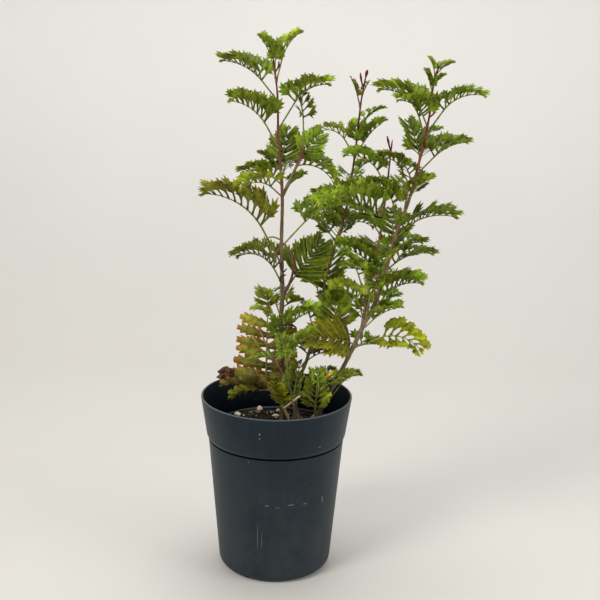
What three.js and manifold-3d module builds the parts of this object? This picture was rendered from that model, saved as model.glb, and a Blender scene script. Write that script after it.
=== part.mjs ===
// A young grevillea with fern-like leaves, standing in a dark nursery pot of potting mix.
// Millimetres, +Z up. The origin is on the pot's axis, on the surface that the pot stands on.
// +X is to the right and +Y is away from someone looking at the front.

import * as THREE from "three";
import { mergeVertices } from "three/addons/utils/BufferGeometryUtils.js";
import Module from "manifold-3d";

const wasm = await Module();
wasm.setup();

// Pot: a tapered wall with a wider collar round its top fifth
const potHeight = 125;
const rimRadius = 52.5;
const wall = 1.3;
const rimBevelWidth = 0.4;
const rimBevelHeight = 0.6;
const collarHeight = 26.5; // from the rim down to the top of the step
const collarFootRadius = 48.8;
const stepHeight = 3.5;
const neckRadius = 47.3; // outside, just under the step
const baseRadius = 39.7; // outside, at the top of the rounded bottom edge
const edgeRadius = 7;
const floorTop = 4;
const floorBevel = 2; // where the wall meets the floor inside
const channelHeight = 2.4; // the ring under the floor that drains the pot
const channelInner = 14;
const channelOuter = 29;
const channelSlope = 1;
const potSides = 36;
const drainHoles = 6;
const drainHoleRadius = 3.5;
const footNotches = 3;
const footNotchWidth = 8;
const footNotchLength = 16;
const footNotchHeight = 3;
const firstNotchTurn = -113; // degrees
const holeSides = 8;
const overcut = 5; // a cutter runs this far past the face that it cuts

// Potting mix
const soilGap = 0.3;
const soilTop = 97.5;
const soilSides = 24;
const soilRings = [0.78, 0.54, 0.3, 0]; // shares of the radius
const soilRelief = 1.2;
// Low clods are a sum of waves: [share of the relief, radians a millimetre along X, along Y, shift]
const clodWaves = [
  [0.5, 0.21, 0.12, 0.6],
  [0.3, 0.53, -0.47, 1.1],
  [0.2, 0.44, 0.61, 1.6],
];
const grainFlatness = 0.8; // height of a loose grain, as a share of its width
const grainRise = 0.35; // height of its middle over the mix, as a share of its size
const stemDepth = 24; // how far a stem stands in the mix
const holeClearance = 0.35;

// Stems
const stemSides = 6;
const twigRoot = 0.5; // how far under its first node a side twig starts

// Leaves: a flat stalk, a rib that arches over, and toothed lobes folded up on both sides
const bladeThickness = 0.7;
const ribWing = 0.75; // half width of the stalk, and of the strip along the rib
const lobePitch = 8.8; // distance between lobes along the rib
const mostPairs = 6;
const fewestPairs = 2;
const shortBlade = 25; // a blade shorter than this has one tooth on each lobe
// How a leaf is cut: its longest lobe as a share of the blade, how much shorter the lobes get
// towards the tip, the degrees between the rib and the first lobe, and how far the lobes lean
// forward towards the tip
const leafCuts = {
  comb: { share: 0.54, taper: 0.52, spread: 76, loss: 30 },
  fan: { share: 0.62, taper: 0.42, spread: 60, loss: 34 },
  oak: { share: 0.48, taper: 0.42, spread: 62, loss: 26 },
  oblong: { share: 0.48, taper: 0.16, spread: 82, loss: 16 },
  spidery: { share: 0.5, taper: 0.5, spread: 70, loss: 26 },
};
// Points round a lobe: [share of its reach, degrees added to its spread]
const frontTooth = [1, -9];
const lobeNotch = [0.74, 1];
const backTooth = [0.84, 13];
// Points beside the rib's end: [share of the longest lobe, degrees from the rib]
const tipTooth = [0.3, 50];
const tipNick = [0.2, 20];

const degrees = Math.PI / 180;
const up = new THREE.Vector3(0, 0, 1);
const touching = 0.01; // points nearer than this count as one height or radius

// Each shoot is a stem with its side twigs. A stem's nodes are [height, x, y].
// A leaf is [height on its stem, turn, stalk, blade, rise, bend, fold, cut, roll]: turn is the way
// it heads (0 right, 90 back, 180 left, 270 front), rise its first slope, bend how far it arches
// over, fold how steeply its two rows of lobes stand up from the rib, and roll how far it is
// turned about its rib. A leaf that names no cut is a comb, and one without a roll has none.
const shoots = {
  shoot_left: [
    {
      nodes: [
        [97, 4, -4],
        [137, 4, -6],
        [170, 2, -8],
        [198, 3, -9],
        [234, 2, -10],
        [267, 2, -10],
        [302, -1, -9],
        [330, -2, -8],
        [354, -5, -8],
      ],
      radius: [2.1, 0.7],
      leaves: [
        [341, 200, 11.2, 18, 76, 30, 45],
        [339, 12, 14, 21.8, 76, 40, 42],
        [346, 70, 5.6, 13.7, 80, 14, 16, "fan"],
        [327.6, 158, 15.5, 31.2, 48, 56, 47],
        [308.6, 330, 21.8, 29.4, 56, 58, 47],
        [298, 212, 18.2, 30.3, 57, 56, 61],
        [283.2, 71, 4.5, 24, 68, 22, 2, "fan"],
        [282, 140, 6.6, 14.3, 48, 50, 40],
        [275.3, 82, 10, 33.1, 32, 63, 42],
        [273, 158, 6.5, 24, 36, 60, 48],
        [265, 212, 10, 25, 40, 74, 46],
        [231.7, 20, 22, 35, 46, 54, 42],
        [219.6, 188, 28, 46.5, 62, 62, 45],
        [206, 155, 10.5, 30.9, 58, 88, 50],
        [189.3, 35, 3.2, 14.2, 25, 30, 40],
        [181.6, 105, 12, 30.5, 28, 46, 36],
        [177.3, 206, 12.8, 13.3, 44, 50, 29],
        [172, 125, 19, 16.9, 50, 24, 12, "fan"],
        [166, 335, 4, 34, 65, 48, 42],
      ],
    },
    {
      nodes: [
        [265, 2, -10],
        [276, 7, -11],
        [297, 16, -12],
      ],
      radius: [1.2, 0.8],
      leaves: [
        [296.3, 110, 20, 22.9, 84, 70, 60],
        [290, 30, 2.8, 20.2, 52, 12, 10, "fan", 58],
        [286, 3, 2.5, 26.5, 10, 76, 40],
        [273.6, 20, 2.2, 13.2, 33, 12, 35],
      ],
    },
    {
      nodes: [
        [196, 3, -9],
        [210, 9, -10],
        [222, 10, -11],
        [230, 7, -11],
      ],
      radius: [1.1, 0.6],
      leaves: [[204, 30, 7.5, 29.5, 60, 12, 7, "fan", 58]],
    },
  ],
  shoot_middle: [
    {
      nodes: [
        [97, 12, 8],
        [129, 15, 11],
        [148, 21, 12],
        [178, 28, 14],
        [216, 35, 16],
        [246, 44, 17],
        [289, 50, 17],
        [324, 53, 17],
        [344, 56, 17],
      ],
      radius: [1.5, 0.65],
      leaves: [
        [330.3, 20, 2.2, 8, 68, 15, 35, "spidery"],
        [322, 172, 5.6, 14.8, 75, 12, 35, "spidery"],
        [305.3, 20, 8, 18.7, 58, 53, 33, "spidery"],
        [296.3, 75, 2.5, 16.9, 75, 18, 16, "fan"],
        [288.9, 160, 12.4, 25.1, 57, 96, 45, "spidery"],
        [288, 352, 10.8, 22, 62, 28, 45],
        [272.3, 20, 10.2, 13.5, 54, 60, 40],
        [264, 92, 10, 24.5, 36, 54, 42],
        [252, 155, 4.1, 23.2, 36, 30, 44],
        [239.4, 158, 3, 19.8, 58, 40, 50],
        [237.4, 25, 3, 24.8, 44, 85, 47],
        [229.6, 145, 8, 22.4, 50, 45, 51],
        [220.3, 75, 13.5, 32, 38, 52, 48],
        [190, 62, 6, 30.3, 66, 30, 19, "fan"],
        [186.8, 102, 13.5, 28, 32, 50, 42],
        [178.5, 35, 8, 22, 39, 50, 41],
        [166.1, 152, 9.5, 14, 72, 30, 36],
        [150.6, 170, 2.2, 15.8, 40, 30, 30],
        [146.1, 0, 6.1, 19.8, 35, 40, 43],
      ],
    },
    {
      nodes: [
        [150, 21, 12],
        [160, 29, 8],
        [170, 40, 4],
      ],
      radius: [1, 0.8],
      leaves: [[170, 95, 2, 26, 70, 18, 8, "fan"]],
    },
  ],
  shoot_right: [
    {
      nodes: [
        [97, 24, -2],
        [120, 33, -3],
        [148, 46, -5],
        [174, 57, -6],
        [200, 68, -7],
        [238, 77, -8],
        [263, 85, -9],
        [290, 91, -9],
        [318, 96, -9],
        [341, 98, -9],
        [351, 101, -9],
      ],
      radius: [2.0, 0.75],
      leaves: [
        [345, 15, 4, 11.2, 48, 40, 35],
        [344.7, 165, 4, 8.9, 77, 30, 40],
        [338.4, 330, 2, 10.7, 50, 10, 33],
        [333.6, 185, 4, 12.4, 76, 15, 35],
        [313, 215, 6, 25.5, 60, 64, 45],
        [307, 328, 19, 29.8, 55, 62, 39],
        [305, 152, 13, 35, 71, 78, 50],
        [307.3, 20, 2.2, 13.2, 26, 17, 27],
        [291.9, 120, 4, 24, 66, 27, 16, "fan"],
        [287, 72, 7.5, 28.7, 34, 52, 36],
        [280.6, 30, 15.8, 29.2, 41, 46, 42],
        [273.9, 110, 2.4, 18.3, 50, 30, 30],
        [274, 350, 2.5, 14, 30, 20, 40],
        [270.7, 190, 15, 20.5, 62, 63, 46],
        [262.1, 325, 5.5, 19, 66, 50, 30],
        [254, 78, 13, 34, 36, 56, 42],
        [243, 170, 17.7, 23.8, 80, 77, 46],
        [238, 95, 2.5, 23.5, 54, 30, 16, "fan"],
        [237.3, 335, 10, 36.2, 48, 58, 36],
        [224, 38, 4.3, 27.2, 40, 50, 41],
        [220.3, 95, 10.2, 34.8, 21, 54, 36],
        [227.3, 258, 5, 20.8, 26, 60, 40],
        [216, 25, 6, 31.5, 35, 48, 42],
        [212, 172, 8.2, 29.3, 45, 32, 50],
        [207, 160, 4.2, 23.6, 40, 50, 51],
        [198, 68, 13, 32, 24, 50, 36],
        [204.7, 257, 5.8, 24.8, 32, 64, 40],
        [185.6, 325, 18.2, 30.2, 52, 52, 48],
        [182.3, 25, 8, 22.5, 44, 34, 40],
        [173.3, 350, 11, 22, 47, 36, 45],
        [171, 62, 12, 29.5, 30, 50, 39],
        [162.6, 30, 2.2, 21.5, 17, 30, 40],
        [161, 339, 20.8, 32.5, 27, 74, 18, "comb", 22],
        [162.8, 200, 2.4, 32.8, 22, 24, 10, "comb", -46],
        [134, 120, 2.5, 17, 60, 44, 35],
        [110.6, 8, 26, 17.2, 56, 56, 40],
      ],
    },
    {
      nodes: [
        [174, 57, -6],
        [192, 60, -2],
        [230, 67, 2],
        [265, 71, 4],
        [302, 74, 5],
      ],
      radius: [1.3, 0.7],
      leaves: [
        [270, 188, 12, 27.9, 61, 68, 41],
        [250, 207, 4, 45, 34, 47, 56],
        [238.7, 176, 11.5, 16.8, 55, 50, 40],
        [193, 210, 19.2, 24.3, 70, 30, 25],
        [183.2, 196, 9.7, 26, 72, 86, 50],
      ],
    },
    {
      nodes: [
        [182, 60, -6],
        [198, 62, -11],
        [213, 67, -13],
      ],
      radius: [0.9, 0.8],
      leaves: [],
    },
  ],
  shoot_bronze: [
    {
      nodes: [
        [97, 13, -12],
        [118, 6, -13],
        [133, -8, 0],
      ],
      radius: [1.1, 0.8],
      leaves: [
        [132.5, 86, 2, 46, 83, 10, 8, "oblong"],
        [130.6, 183, 2.7, 32.8, 30, 62, 39, "oak"],
        [130.3, 205, 6.8, 20.8, 7, 30, 36, "oak"],
        [119.4, 235, 4, 25.1, 61, 16, 15, "oak"],
      ],
    },
  ],
  shoot_young: [
    {
      nodes: [
        [97, 19, -8],
        [129, 11, -11],
        [141, 6, -13],
        [156, -2, -15],
      ],
      radius: [1.2, 0.8],
      leaves: [
        [156, 165, 3, 17, 26, 30, 30],
        [154, 20, 2.2, 13.2, 50, 30, 30],
      ],
    },
    {
      nodes: [
        [155, -2, -15],
        [165, -7, -17],
        [178, -12, -18],
      ],
      radius: [0.8, 0.7],
      leaves: [],
    },
    {
      nodes: [
        [150, 1, -14],
        [162, -10, -18],
        [173, -17, -19],
      ],
      radius: [0.7, 0.7],
      leaves: [],
    },
  ],
  shoot_centre: [
    {
      nodes: [
        [97, 15, -21],
        [120, 13, -24],
        [144, 8, -25],
        [157, 7, -25],
      ],
      radius: [1.1, 0.7],
      leaves: [
        [157, 120, 3, 23.3, 78, 20, 20, "fan"],
        [156.7, 350, 7.8, 21.5, 62, 30, 51],
        [128.6, 82, 5.2, 24.8, 80, 20, 12, "oak"],
      ],
    },
  ],
  shoot_front: [
    {
      nodes: [
        [97, 30, -14],
        [122, 29, -18],
        [138, 32, -21],
      ],
      radius: [1.2, 0.8],
      leaves: [
        [136, 110, 4, 14.2, 78, 20, 22, "oak"],
        [136.3, 10, 2, 24, 32, 20, 30],
        [125.4, 180, 3.8, 15, 35, 50, 25, "oak"],
        [113.4, 68, 6.3, 28.3, 82, 16, 12, "oak"],
      ],
    },
  ],
};

// Loose pieces on the mix: [x, y, size, stretch]. They lie in the part that is left bare.
const pumiceGrains = [
  [-13.3, 41, 2.6, 1],
  [-1.2, 29.7, 2.2, 1.3],
  [-29, 31, 2.2, 1.3],
  [28, 30, 2.1, 1.1],
  [-14, -34, 2.2, 1.2],
];
const barkChips = [
  [-5.5, 35, 1.7, 1.7],
  [0.5, 41, 1.5, 1.6],
  [-17.5, 34, 1.9, 1.8],
];

const materials = {
  pot: new THREE.MeshStandardMaterial({ color: 0x2b3138, roughness: 0.55 }),
  soil: new THREE.MeshStandardMaterial({ color: 0x1d1712, roughness: 1 }),
  leaf: new THREE.MeshStandardMaterial({ color: 0x4d7a1c, roughness: 0.5 }),
  bronze: new THREE.MeshStandardMaterial({ color: 0x6f5a20, roughness: 0.5 }),
  pumice: new THREE.MeshStandardMaterial({ color: 0xd6c9b8, roughness: 0.9 }),
  bark: new THREE.MeshStandardMaterial({ color: 0x7a5c36, roughness: 0.9 }),
};

// A closed geometry as a solid that can be joined and cut
function solid(geometry) {
  const bare = geometry.clone();
  bare.deleteAttribute("normal");
  bare.deleteAttribute("uv");
  const merged = mergeVertices(bare, 1e-4);
  return new wasm.Manifold(
    new wasm.Mesh({
      numProp: 3,
      vertProperties: merged.attributes.position.array,
      triVerts: new Uint32Array(merged.index.array),
    }),
  );
}

function meshOf(name, shape, material) {
  const made = shape.getMesh();
  const geometry = new THREE.BufferGeometry();
  geometry.setAttribute(
    "position",
    new THREE.BufferAttribute(made.vertProperties, 3),
  );
  geometry.setIndex(new THREE.BufferAttribute(made.triVerts, 1));
  const mesh = new THREE.Mesh(geometry, material);
  mesh.name = name;
  return mesh;
}

// A turned shape: the profile's points are [radius, height]
function turned(profile, sides) {
  const points = profile.map(([radius, height]) => new THREE.Vector2(radius, height));
  return new THREE.LatheGeometry(points, sides).rotateX(Math.PI / 2);
}

function rod(radius, low, high, x, y, sides) {
  const geometry = new THREE.CylinderGeometry(radius, radius, high - low, sides);
  return geometry.rotateX(Math.PI / 2).translate(x, y, (low + high) / 2);
}

// The radius of the pot's inside at a height under the step
function insideRadius(height) {
  const neckHeight = potHeight - collarHeight - stepHeight;
  const share = (height - edgeRadius) / (neckHeight - edgeRadius);
  return baseRadius + (neckRadius - baseRadius) * share - wall;
}

function makePot() {
  const stepTop = potHeight - collarHeight;
  const neckHeight = stepTop - stepHeight;
  const footRadius = baseRadius - edgeRadius;
  const roundEdge = [30, 60, 90].map((turn) => [
    footRadius + edgeRadius * Math.sin(turn * degrees),
    edgeRadius * (1 - Math.cos(turn * degrees)),
  ]);
  const profile = [
    [0, 0],
    [channelInner, 0],
    [channelInner + channelSlope, channelHeight],
    [channelOuter, channelHeight],
    [channelOuter + channelSlope, 0],
    [footRadius, 0],
    ...roundEdge,
    [neckRadius, neckHeight],
    [collarFootRadius, stepTop],
    [rimRadius, potHeight - rimBevelHeight],
    [rimRadius - rimBevelWidth, potHeight],
    [rimRadius - wall, potHeight],
    [collarFootRadius - wall, stepTop],
    [insideRadius(neckHeight), neckHeight],
    [insideRadius(floorTop + floorBevel), floorTop + floorBevel],
    [insideRadius(floorTop) - floorBevel, floorTop],
    [0, floorTop],
  ];
  let pot = solid(turned(profile, potSides));
  for (let i = 0; i < drainHoles; i += 1) {
    const turn = ((i + 0.5) * 360 * degrees) / drainHoles;
    const reach = (channelInner + channelOuter) / 2;
    const [x, y] = [reach * Math.cos(turn), reach * Math.sin(turn)];
    pot = pot.subtract(solid(rod(drainHoleRadius, -overcut, floorTop + overcut, x, y, holeSides)));
  }
  for (let i = 0; i < footNotches; i += 1) {
    const notch = new THREE.BoxGeometry(footNotchLength, footNotchWidth, 2 * footNotchHeight);
    notch.translate(channelOuter + footNotchLength / 2, 0, 0);
    notch.rotateZ((firstNotchTurn + (i * 360) / footNotches) * degrees);
    pot = pot.subtract(solid(notch));
  }
  return pot;
}

function clods(x, y) {
  const wave = ([share, alongX, alongY, shift]) => share * Math.sin(alongX * x + alongY * y + shift);
  return soilRelief * clodWaves.reduce((sum, next) => sum + wave(next), 0);
}

function makeSoil(stems) {
  const low = floorTop + soilGap;
  const edge = insideRadius(soilTop) - soilGap;
  const profile = [
    [0, low],
    [insideRadius(floorTop) - floorBevel - soilGap, low],
    [insideRadius(low + floorBevel) - soilGap, low + floorBevel],
    [edge, soilTop],
    ...soilRings.map((share) => [edge * share, soilTop]),
  ];
  const geometry = turned(profile, soilSides);
  const place = geometry.attributes.position;
  for (let i = 0; i < place.count; i += 1) {
    const [x, y, z] = [place.getX(i), place.getY(i), place.getZ(i)];
    const onTop = z > soilTop - touching && Math.hypot(x, y) < edge - touching;
    if (onTop) place.setZ(i, z + clods(x, y));
  }
  let soil = solid(geometry);
  for (const { nodes, radius } of stems) {
    const [, x, y] = nodes[0];
    const foot = soilTop - stemDepth - soilGap;
    const hole = rod(radius[0] + holeClearance, foot, soilTop + overcut, x, y, holeSides);
    soil = soil.subtract(solid(hole));
  }
  return soil;
}

// Where a stem's middle is at a height: straight between its nodes, and upright under the first
function onStem(nodes, height) {
  const after = nodes.findIndex((node) => node[0] >= height);
  if (after === 0) return new THREE.Vector3(nodes[0][1], nodes[0][2], height);
  const [high, low] = after < 0 ? [nodes.at(-1), nodes.at(-2)] : [nodes[after], nodes[after - 1]];
  const share = (height - low[0]) / (high[0] - low[0]);
  return new THREE.Vector3(
    low[1] + (high[1] - low[1]) * share,
    low[2] + (high[2] - low[2]) * share,
    height,
  );
}

// A tapered stem: turned upright, then each ring is moved to its place on the line of the nodes
function makeStem(nodes, [thick, thin], foot) {
  const heights = [foot, ...nodes.map((node) => node[0])];
  const [base, top] = [nodes[0][0], nodes.at(-1)[0]];
  const share = (height) => Math.max(0, height - base) / (top - base);
  const taper = (height) => thick + (thin - thick) * share(height);
  const profile = [[0, foot], ...heights.map((height) => [taper(height), height]), [0, top + thin]];
  const geometry = turned(profile, stemSides);
  const place = geometry.attributes.position;
  for (let i = 0; i < place.count; i += 1) {
    const middle = onStem(nodes, Math.min(place.getZ(i), top));
    place.setXY(i, place.getX(i) + middle.x, place.getY(i) + middle.y);
  }
  return solid(geometry);
}

// A leaf as one thin blade. Its outline is cut to a strip along the rib between the lobes, and both
// faces are split into the same triangles, half a thickness above and below the outline.
function makeLeaf(root, [, turn, stalk, blade, rise, bend, fold, cut = "comb", roll = 0]) {
  const lobes = leafCuts[cut];
  const heading = new THREE.Vector3(Math.cos(turn * degrees), Math.sin(turn * degrees), 0);
  const side = new THREE.Vector3().crossVectors(up, heading);
  const points = [];
  const offsets = [];
  const faces = [];

  // The rib: straight along the stalk, where along is negative, then an arc over the blade
  function ribFrame(along) {
    const first = rise * degrees;
    const slope = (rise - bend * Math.max(0, along)) * degrees;
    const arcRadius = along > 0 ? blade / (bend * degrees) : 0;
    const reach = stalk * Math.min(1, 1 + along);
    const out = reach * Math.cos(first) + arcRadius * (Math.sin(first) - Math.sin(slope));
    const rose = reach * Math.sin(first) + arcRadius * (Math.cos(slope) - Math.cos(first));
    return {
      at: root.clone().addScaledVector(heading, out).addScaledVector(up, rose),
      ahead: heading.clone().multiplyScalar(Math.cos(slope)).addScaledVector(up, Math.sin(slope)),
      above: heading.clone().multiplyScalar(-Math.sin(slope)).addScaledVector(up, Math.cos(slope)),
    };
  }

  // A point at a reach from the strip's edge, in the folded row of one hand (0 is the rib's end)
  function add(along, hand, reach = 0, spread = 90) {
    const { at, ahead, above } = ribFrame(along);
    const tilt = reach > 0 ? (fold + hand * roll) * degrees : 0;
    const across = side.clone().multiplyScalar(hand);
    const outward = across.clone().multiplyScalar(Math.cos(tilt)).addScaledVector(above, Math.sin(tilt));
    const normal = above.clone().multiplyScalar(Math.cos(tilt)).addScaledVector(across, -Math.sin(tilt));
    at.addScaledVector(side, hand * ribWing);
    at.addScaledVector(ahead, reach * Math.cos(spread * degrees));
    points.push(at.addScaledVector(outward, reach * Math.sin(spread * degrees)));
    offsets.push(normal.multiplyScalar(bladeThickness / 2));
    return points.length - 1;
  }

  // A face with its corners in order for the left hand: on the right hand the order turns round
  function face(hand, ...corners) {
    faces.push(hand > 0 ? corners : corners.reverse());
  }

  const pairs = THREE.MathUtils.clamp(Math.round(blade / lobePitch), fewestPairs, mostPairs);
  const stations = [-1];
  for (let i = 0; i <= pairs; i += 1) stations.push(i / (pairs + 1));
  const [left, right] = [1, -1].map((hand) => stations.map((along) => add(along, hand)));
  const tip = add(1, 0);
  for (let i = 0; i <= pairs; i += 1) {
    face(1, right[i], right[i + 1], left[i + 1]);
    face(1, right[i], left[i + 1], left[i]);
  }
  face(1, right[pairs + 1], tip, left[pairs + 1]);

  for (const hand of [1, -1]) {
    const edge = hand > 0 ? left : right;
    for (let i = 0; i < pairs; i += 1) {
      const share = i / pairs;
      const middle = (i + 0.5) / (pairs + 1);
      const reach = lobes.share * blade * (1 - lobes.taper * share);
      const spread = lobes.spread - lobes.loss * share;
      const lobePoint = ([part, more]) => add(middle, hand, reach * part, spread + more);
      const front = lobePoint(frontTooth);
      if (blade < shortBlade) {
        face(hand, edge[i + 1], edge[i + 2], front);
      } else {
        const back = lobePoint(backTooth);
        const notch = lobePoint(lobeNotch);
        face(hand, edge[i + 1], edge[i + 2], notch);
        face(hand, edge[i + 1], notch, back);
        face(hand, edge[i + 2], front, notch);
      }
    }
    const last = (pairs + 0.5) / (pairs + 1);
    const tipPoint = ([part, spread]) => add(last, hand, lobes.share * blade * part, spread);
    const [tooth, nick] = [tipPoint(tipTooth), tipPoint(tipNick)];
    face(hand, edge[pairs + 1], nick, tooth);
    face(hand, edge[pairs + 1], tip, nick);
  }
  return solid(platedFace(points, offsets, faces));
}

// Both faces of a blade, and walls along every edge that only one face has
function platedFace(points, offsets, faces) {
  const count = points.length;
  const place = [];
  for (const sign of [1, -1]) {
    points.forEach((point, i) => place.push(...point.clone().addScaledVector(offsets[i], sign)));
  }
  const edges = new Set(faces.flatMap(([a, b, c]) => [`${a} ${b}`, `${b} ${c}`, `${c} ${a}`]));
  const index = [];
  for (const [a, b, c] of faces) index.push(a, b, c, count + c, count + b, count + a);
  for (const edge of edges) {
    const [a, b] = edge.split(" ").map(Number);
    if (!edges.has(`${b} ${a}`)) index.push(b, a, count + a, b, count + a, count + b);
  }
  const geometry = new THREE.BufferGeometry();
  geometry.setAttribute("position", new THREE.Float32BufferAttribute(place, 3));
  geometry.setIndex(index);
  return geometry;
}

// One leafy shoot: its stems and leaves joined in one solid
function makeShoot(stems) {
  const pieces = stems.flatMap(({ nodes, radius, leaves }, i) => {
    const foot = i === 0 ? soilTop - stemDepth : nodes[0][0] - twigRoot;
    return [
      makeStem(nodes, radius, foot),
      ...leaves.map((leaf) => makeLeaf(onStem(nodes, leaf[0]), leaf)),
    ];
  });
  return pieces.reduce((whole, piece) => whole.add(piece));
}

// A grain: a ball with few faces, stretched along X and turned by its place
function makeGrain([x, y, size, stretch]) {
  const ball = new THREE.IcosahedronGeometry(size, 0);
  ball.scale(stretch, 1, grainFlatness).rotateZ(x + y);
  return solid(ball.translate(x, y, soilTop + clods(x, y) + size * grainRise));
}

const plant = new THREE.Group();
plant.add(meshOf("pot", makePot(), materials.pot));

let soil = makeSoil(Object.values(shoots).map((stems) => stems[0]));
const loose = [
  ...pumiceGrains.map((grain, i) => [`pumice_${i + 1}`, grain, materials.pumice]),
  ...barkChips.map((grain, i) => [`bark_chip_${i + 1}`, grain, materials.bark]),
];
for (const [name, grain, material] of loose) {
  const [x, y, size, stretch] = grain;
  soil = soil.subtract(makeGrain([x, y, size + soilGap, stretch]));
  plant.add(meshOf(name, makeGrain(grain), material));
}
plant.add(meshOf("potting_mix", soil, materials.soil));

for (const [name, stems] of Object.entries(shoots)) {
  const material = name === "shoot_bronze" ? materials.bronze : materials.leaf;
  plant.add(meshOf(name, makeShoot(stems), material));
}

export default plant;
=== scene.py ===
# The looks of a young potted grevillea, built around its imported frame. Metres, +Z up.
import math
from collections import namedtuple
from functools import reduce

import bpy
import numpy as np
from mathutils import Matrix


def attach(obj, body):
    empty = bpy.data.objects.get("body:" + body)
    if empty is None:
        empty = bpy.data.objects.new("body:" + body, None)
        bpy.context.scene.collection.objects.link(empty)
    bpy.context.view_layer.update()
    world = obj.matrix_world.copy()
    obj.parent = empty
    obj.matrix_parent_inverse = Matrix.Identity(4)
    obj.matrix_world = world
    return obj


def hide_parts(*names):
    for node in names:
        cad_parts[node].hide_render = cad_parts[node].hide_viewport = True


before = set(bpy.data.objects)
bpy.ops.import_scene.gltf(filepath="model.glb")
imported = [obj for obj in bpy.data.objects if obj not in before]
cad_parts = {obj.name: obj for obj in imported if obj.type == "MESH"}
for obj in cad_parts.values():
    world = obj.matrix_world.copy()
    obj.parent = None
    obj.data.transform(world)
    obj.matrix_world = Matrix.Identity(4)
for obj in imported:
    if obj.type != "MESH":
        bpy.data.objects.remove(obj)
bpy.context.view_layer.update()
mm = 0.001
scene = bpy.context.scene
print("frame loaded")


# Turns a list of patches into one mesh. A patch is (points, faces, material number, values),
# where faces is a list of index arrays, one for each number of corners, and values holds the
# attributes of its points: a row of four for a colour, and one number for anything else.
def makePiece(name, patches, materials, sharpValue=None):
    points = np.concatenate([patch[0] for patch in patches])
    starts = np.cumsum([0] + [len(patch[0]) for patch in patches])
    corners, counts, slots = [], [], []
    for start, (_, faces, slotNumber, _) in zip(starts, patches):
        for block in faces:
            corners.append((block + start).ravel())
            counts.append(np.full(len(block), block.shape[1]))
            slots.append(np.full(len(block), slotNumber))
    corners, counts, slots = (np.concatenate(x).astype(np.int32) for x in (corners, counts, slots))
    mesh = bpy.data.meshes.new(name)
    mesh.vertices.add(len(points))
    mesh.vertices.foreach_set("co", points.astype(np.float32).ravel())
    mesh.loops.add(len(corners))
    mesh.loops.foreach_set("vertex_index", corners)
    mesh.polygons.add(len(counts))
    mesh.polygons.foreach_set("loop_start", (np.cumsum(counts) - counts).astype(np.int32))
    mesh.polygons.foreach_set("material_index", slots)
    mesh.polygons.foreach_set("use_smooth", np.ones(len(counts), bool))
    mesh.update(calc_edges=True)
    for key in sorted({key for patch in patches for key in patch[3]}):
        wide = next(patch[3][key].ndim for patch in patches if key in patch[3]) == 2
        blank = lambda patch: np.zeros((len(patch[0]), 4) if wide else len(patch[0]))
        value = np.concatenate([patch[3].get(key, blank(patch)) for patch in patches])
        attribute = mesh.attributes.new(key, "FLOAT_COLOR" if wide else "FLOAT", "POINT")
        attribute.data.foreach_set("color" if wide else "value", value.astype(np.float32).ravel())
    if sharpValue:
        value = np.zeros(len(points), np.float32)
        mesh.attributes[sharpValue].data.foreach_get("value", value)
        ends = np.zeros(2 * len(mesh.edges), np.int32)
        mesh.edges.foreach_get("vertices", ends)
        sharp = (value[ends.reshape(-1, 2)] > 0.5).all(1)
        mesh.attributes.new("sharp_edge", "BOOLEAN", "EDGE").data.foreach_set("value", sharp)
    for material in materials:
        mesh.materials.append(material)
    piece = bpy.data.objects.new(name, mesh)
    scene.collection.objects.link(piece)
    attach(piece, "root")
    return piece


# Faces of a grid whose rows are closed rings: ring i point j joins ring i+1 point j and their
# neighbours round the ring.
def ringFaces(rings, sides):
    i, j = np.meshgrid(np.arange(rings - 1), np.arange(sides), indexing="ij")
    here, beside = i * sides + j, i * sides + (j + 1) % sides
    return np.stack([here, beside, beside + sides, here + sides], -1).reshape(-1, 4)


# Fans that close a ring: each side of the ring and the point in the middle.
def fanFaces(first, sides, middle, turned):
    j = np.arange(sides)
    a, b = first + j, first + (j + 1) % sides
    return np.stack([b, a, np.full(sides, middle)] if turned else [a, b, np.full(sides, middle)], -1)


# Faces of a closed tube: its rings, and a fan at each end, whose middle points come last.
def tubeFaces(rings, sides):
    middle = rings * sides
    fans = [fanFaces(0, sides, middle, True), fanFaces(middle - sides, sides, middle + 1, False)]
    return [ringFaces(rings, sides), *fans]


# Faces for count copies of a form of each points: the indices of one, plus each copy's start.
def copiedFaces(blocks, count, each):
    starts = (np.arange(count) * each)[:, None, None]
    return [(block[None] + starts).reshape(-1, block.shape[1]) for block in blocks]


# A profile carried along a path: at each point of the path, a ring of sides points at
# across * cos + up * sin of evenly spaced angles, times the half width and half height there.
# Both ends close on a middle point.
def profileAlong(path, across, up, halfWidth, halfHeight, sides):
    turn = np.arange(sides) * 2 * np.pi / sides
    ring = (
        across[:, None] * (np.cos(turn)[None, :] * halfWidth[:, None])[..., None]
        + up[:, None] * (np.sin(turn)[None, :] * halfHeight[:, None])[..., None]
    )
    points = (path[:, None] + ring).reshape(-1, 3)
    return np.concatenate([points, path[:1], path[-1:]]), tubeFaces(len(path), sides)


def spreadOnRings(values, sides):  # one value a ring, copied to its points and to both end points
    return np.concatenate([np.repeat(values, sides, axis=0), values[:1], values[-1:]])


def withAlpha(colors):
    return np.concatenate([colors, np.ones((len(colors), 1))], 1)


def unit(vectors):
    return vectors / np.maximum(np.linalg.norm(vectors, axis=-1, keepdims=True), 1e-12)


# A smooth curve through points: each span is a cubic whose end slopes are half the step between
# the neighbours on either side.
def smoothCurve(points, steps):
    points = np.asarray(points, float)
    padded = np.concatenate([2 * points[:1] - points[1:2], points, 2 * points[-1:] - points[-2:-1]])
    a, b, c, d = (padded[i : i + len(points) - 1, None] for i in range(4))
    t = np.linspace(0, 1, steps, endpoint=False)[None, :, None]
    curve = b + 0.5 * t * (c - a + t * (2 * a - 5 * b + 4 * c - d + t * (3 * (b - c) + d - a)))
    return np.concatenate([curve.reshape(-1, 3), points[-1:]])


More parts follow.
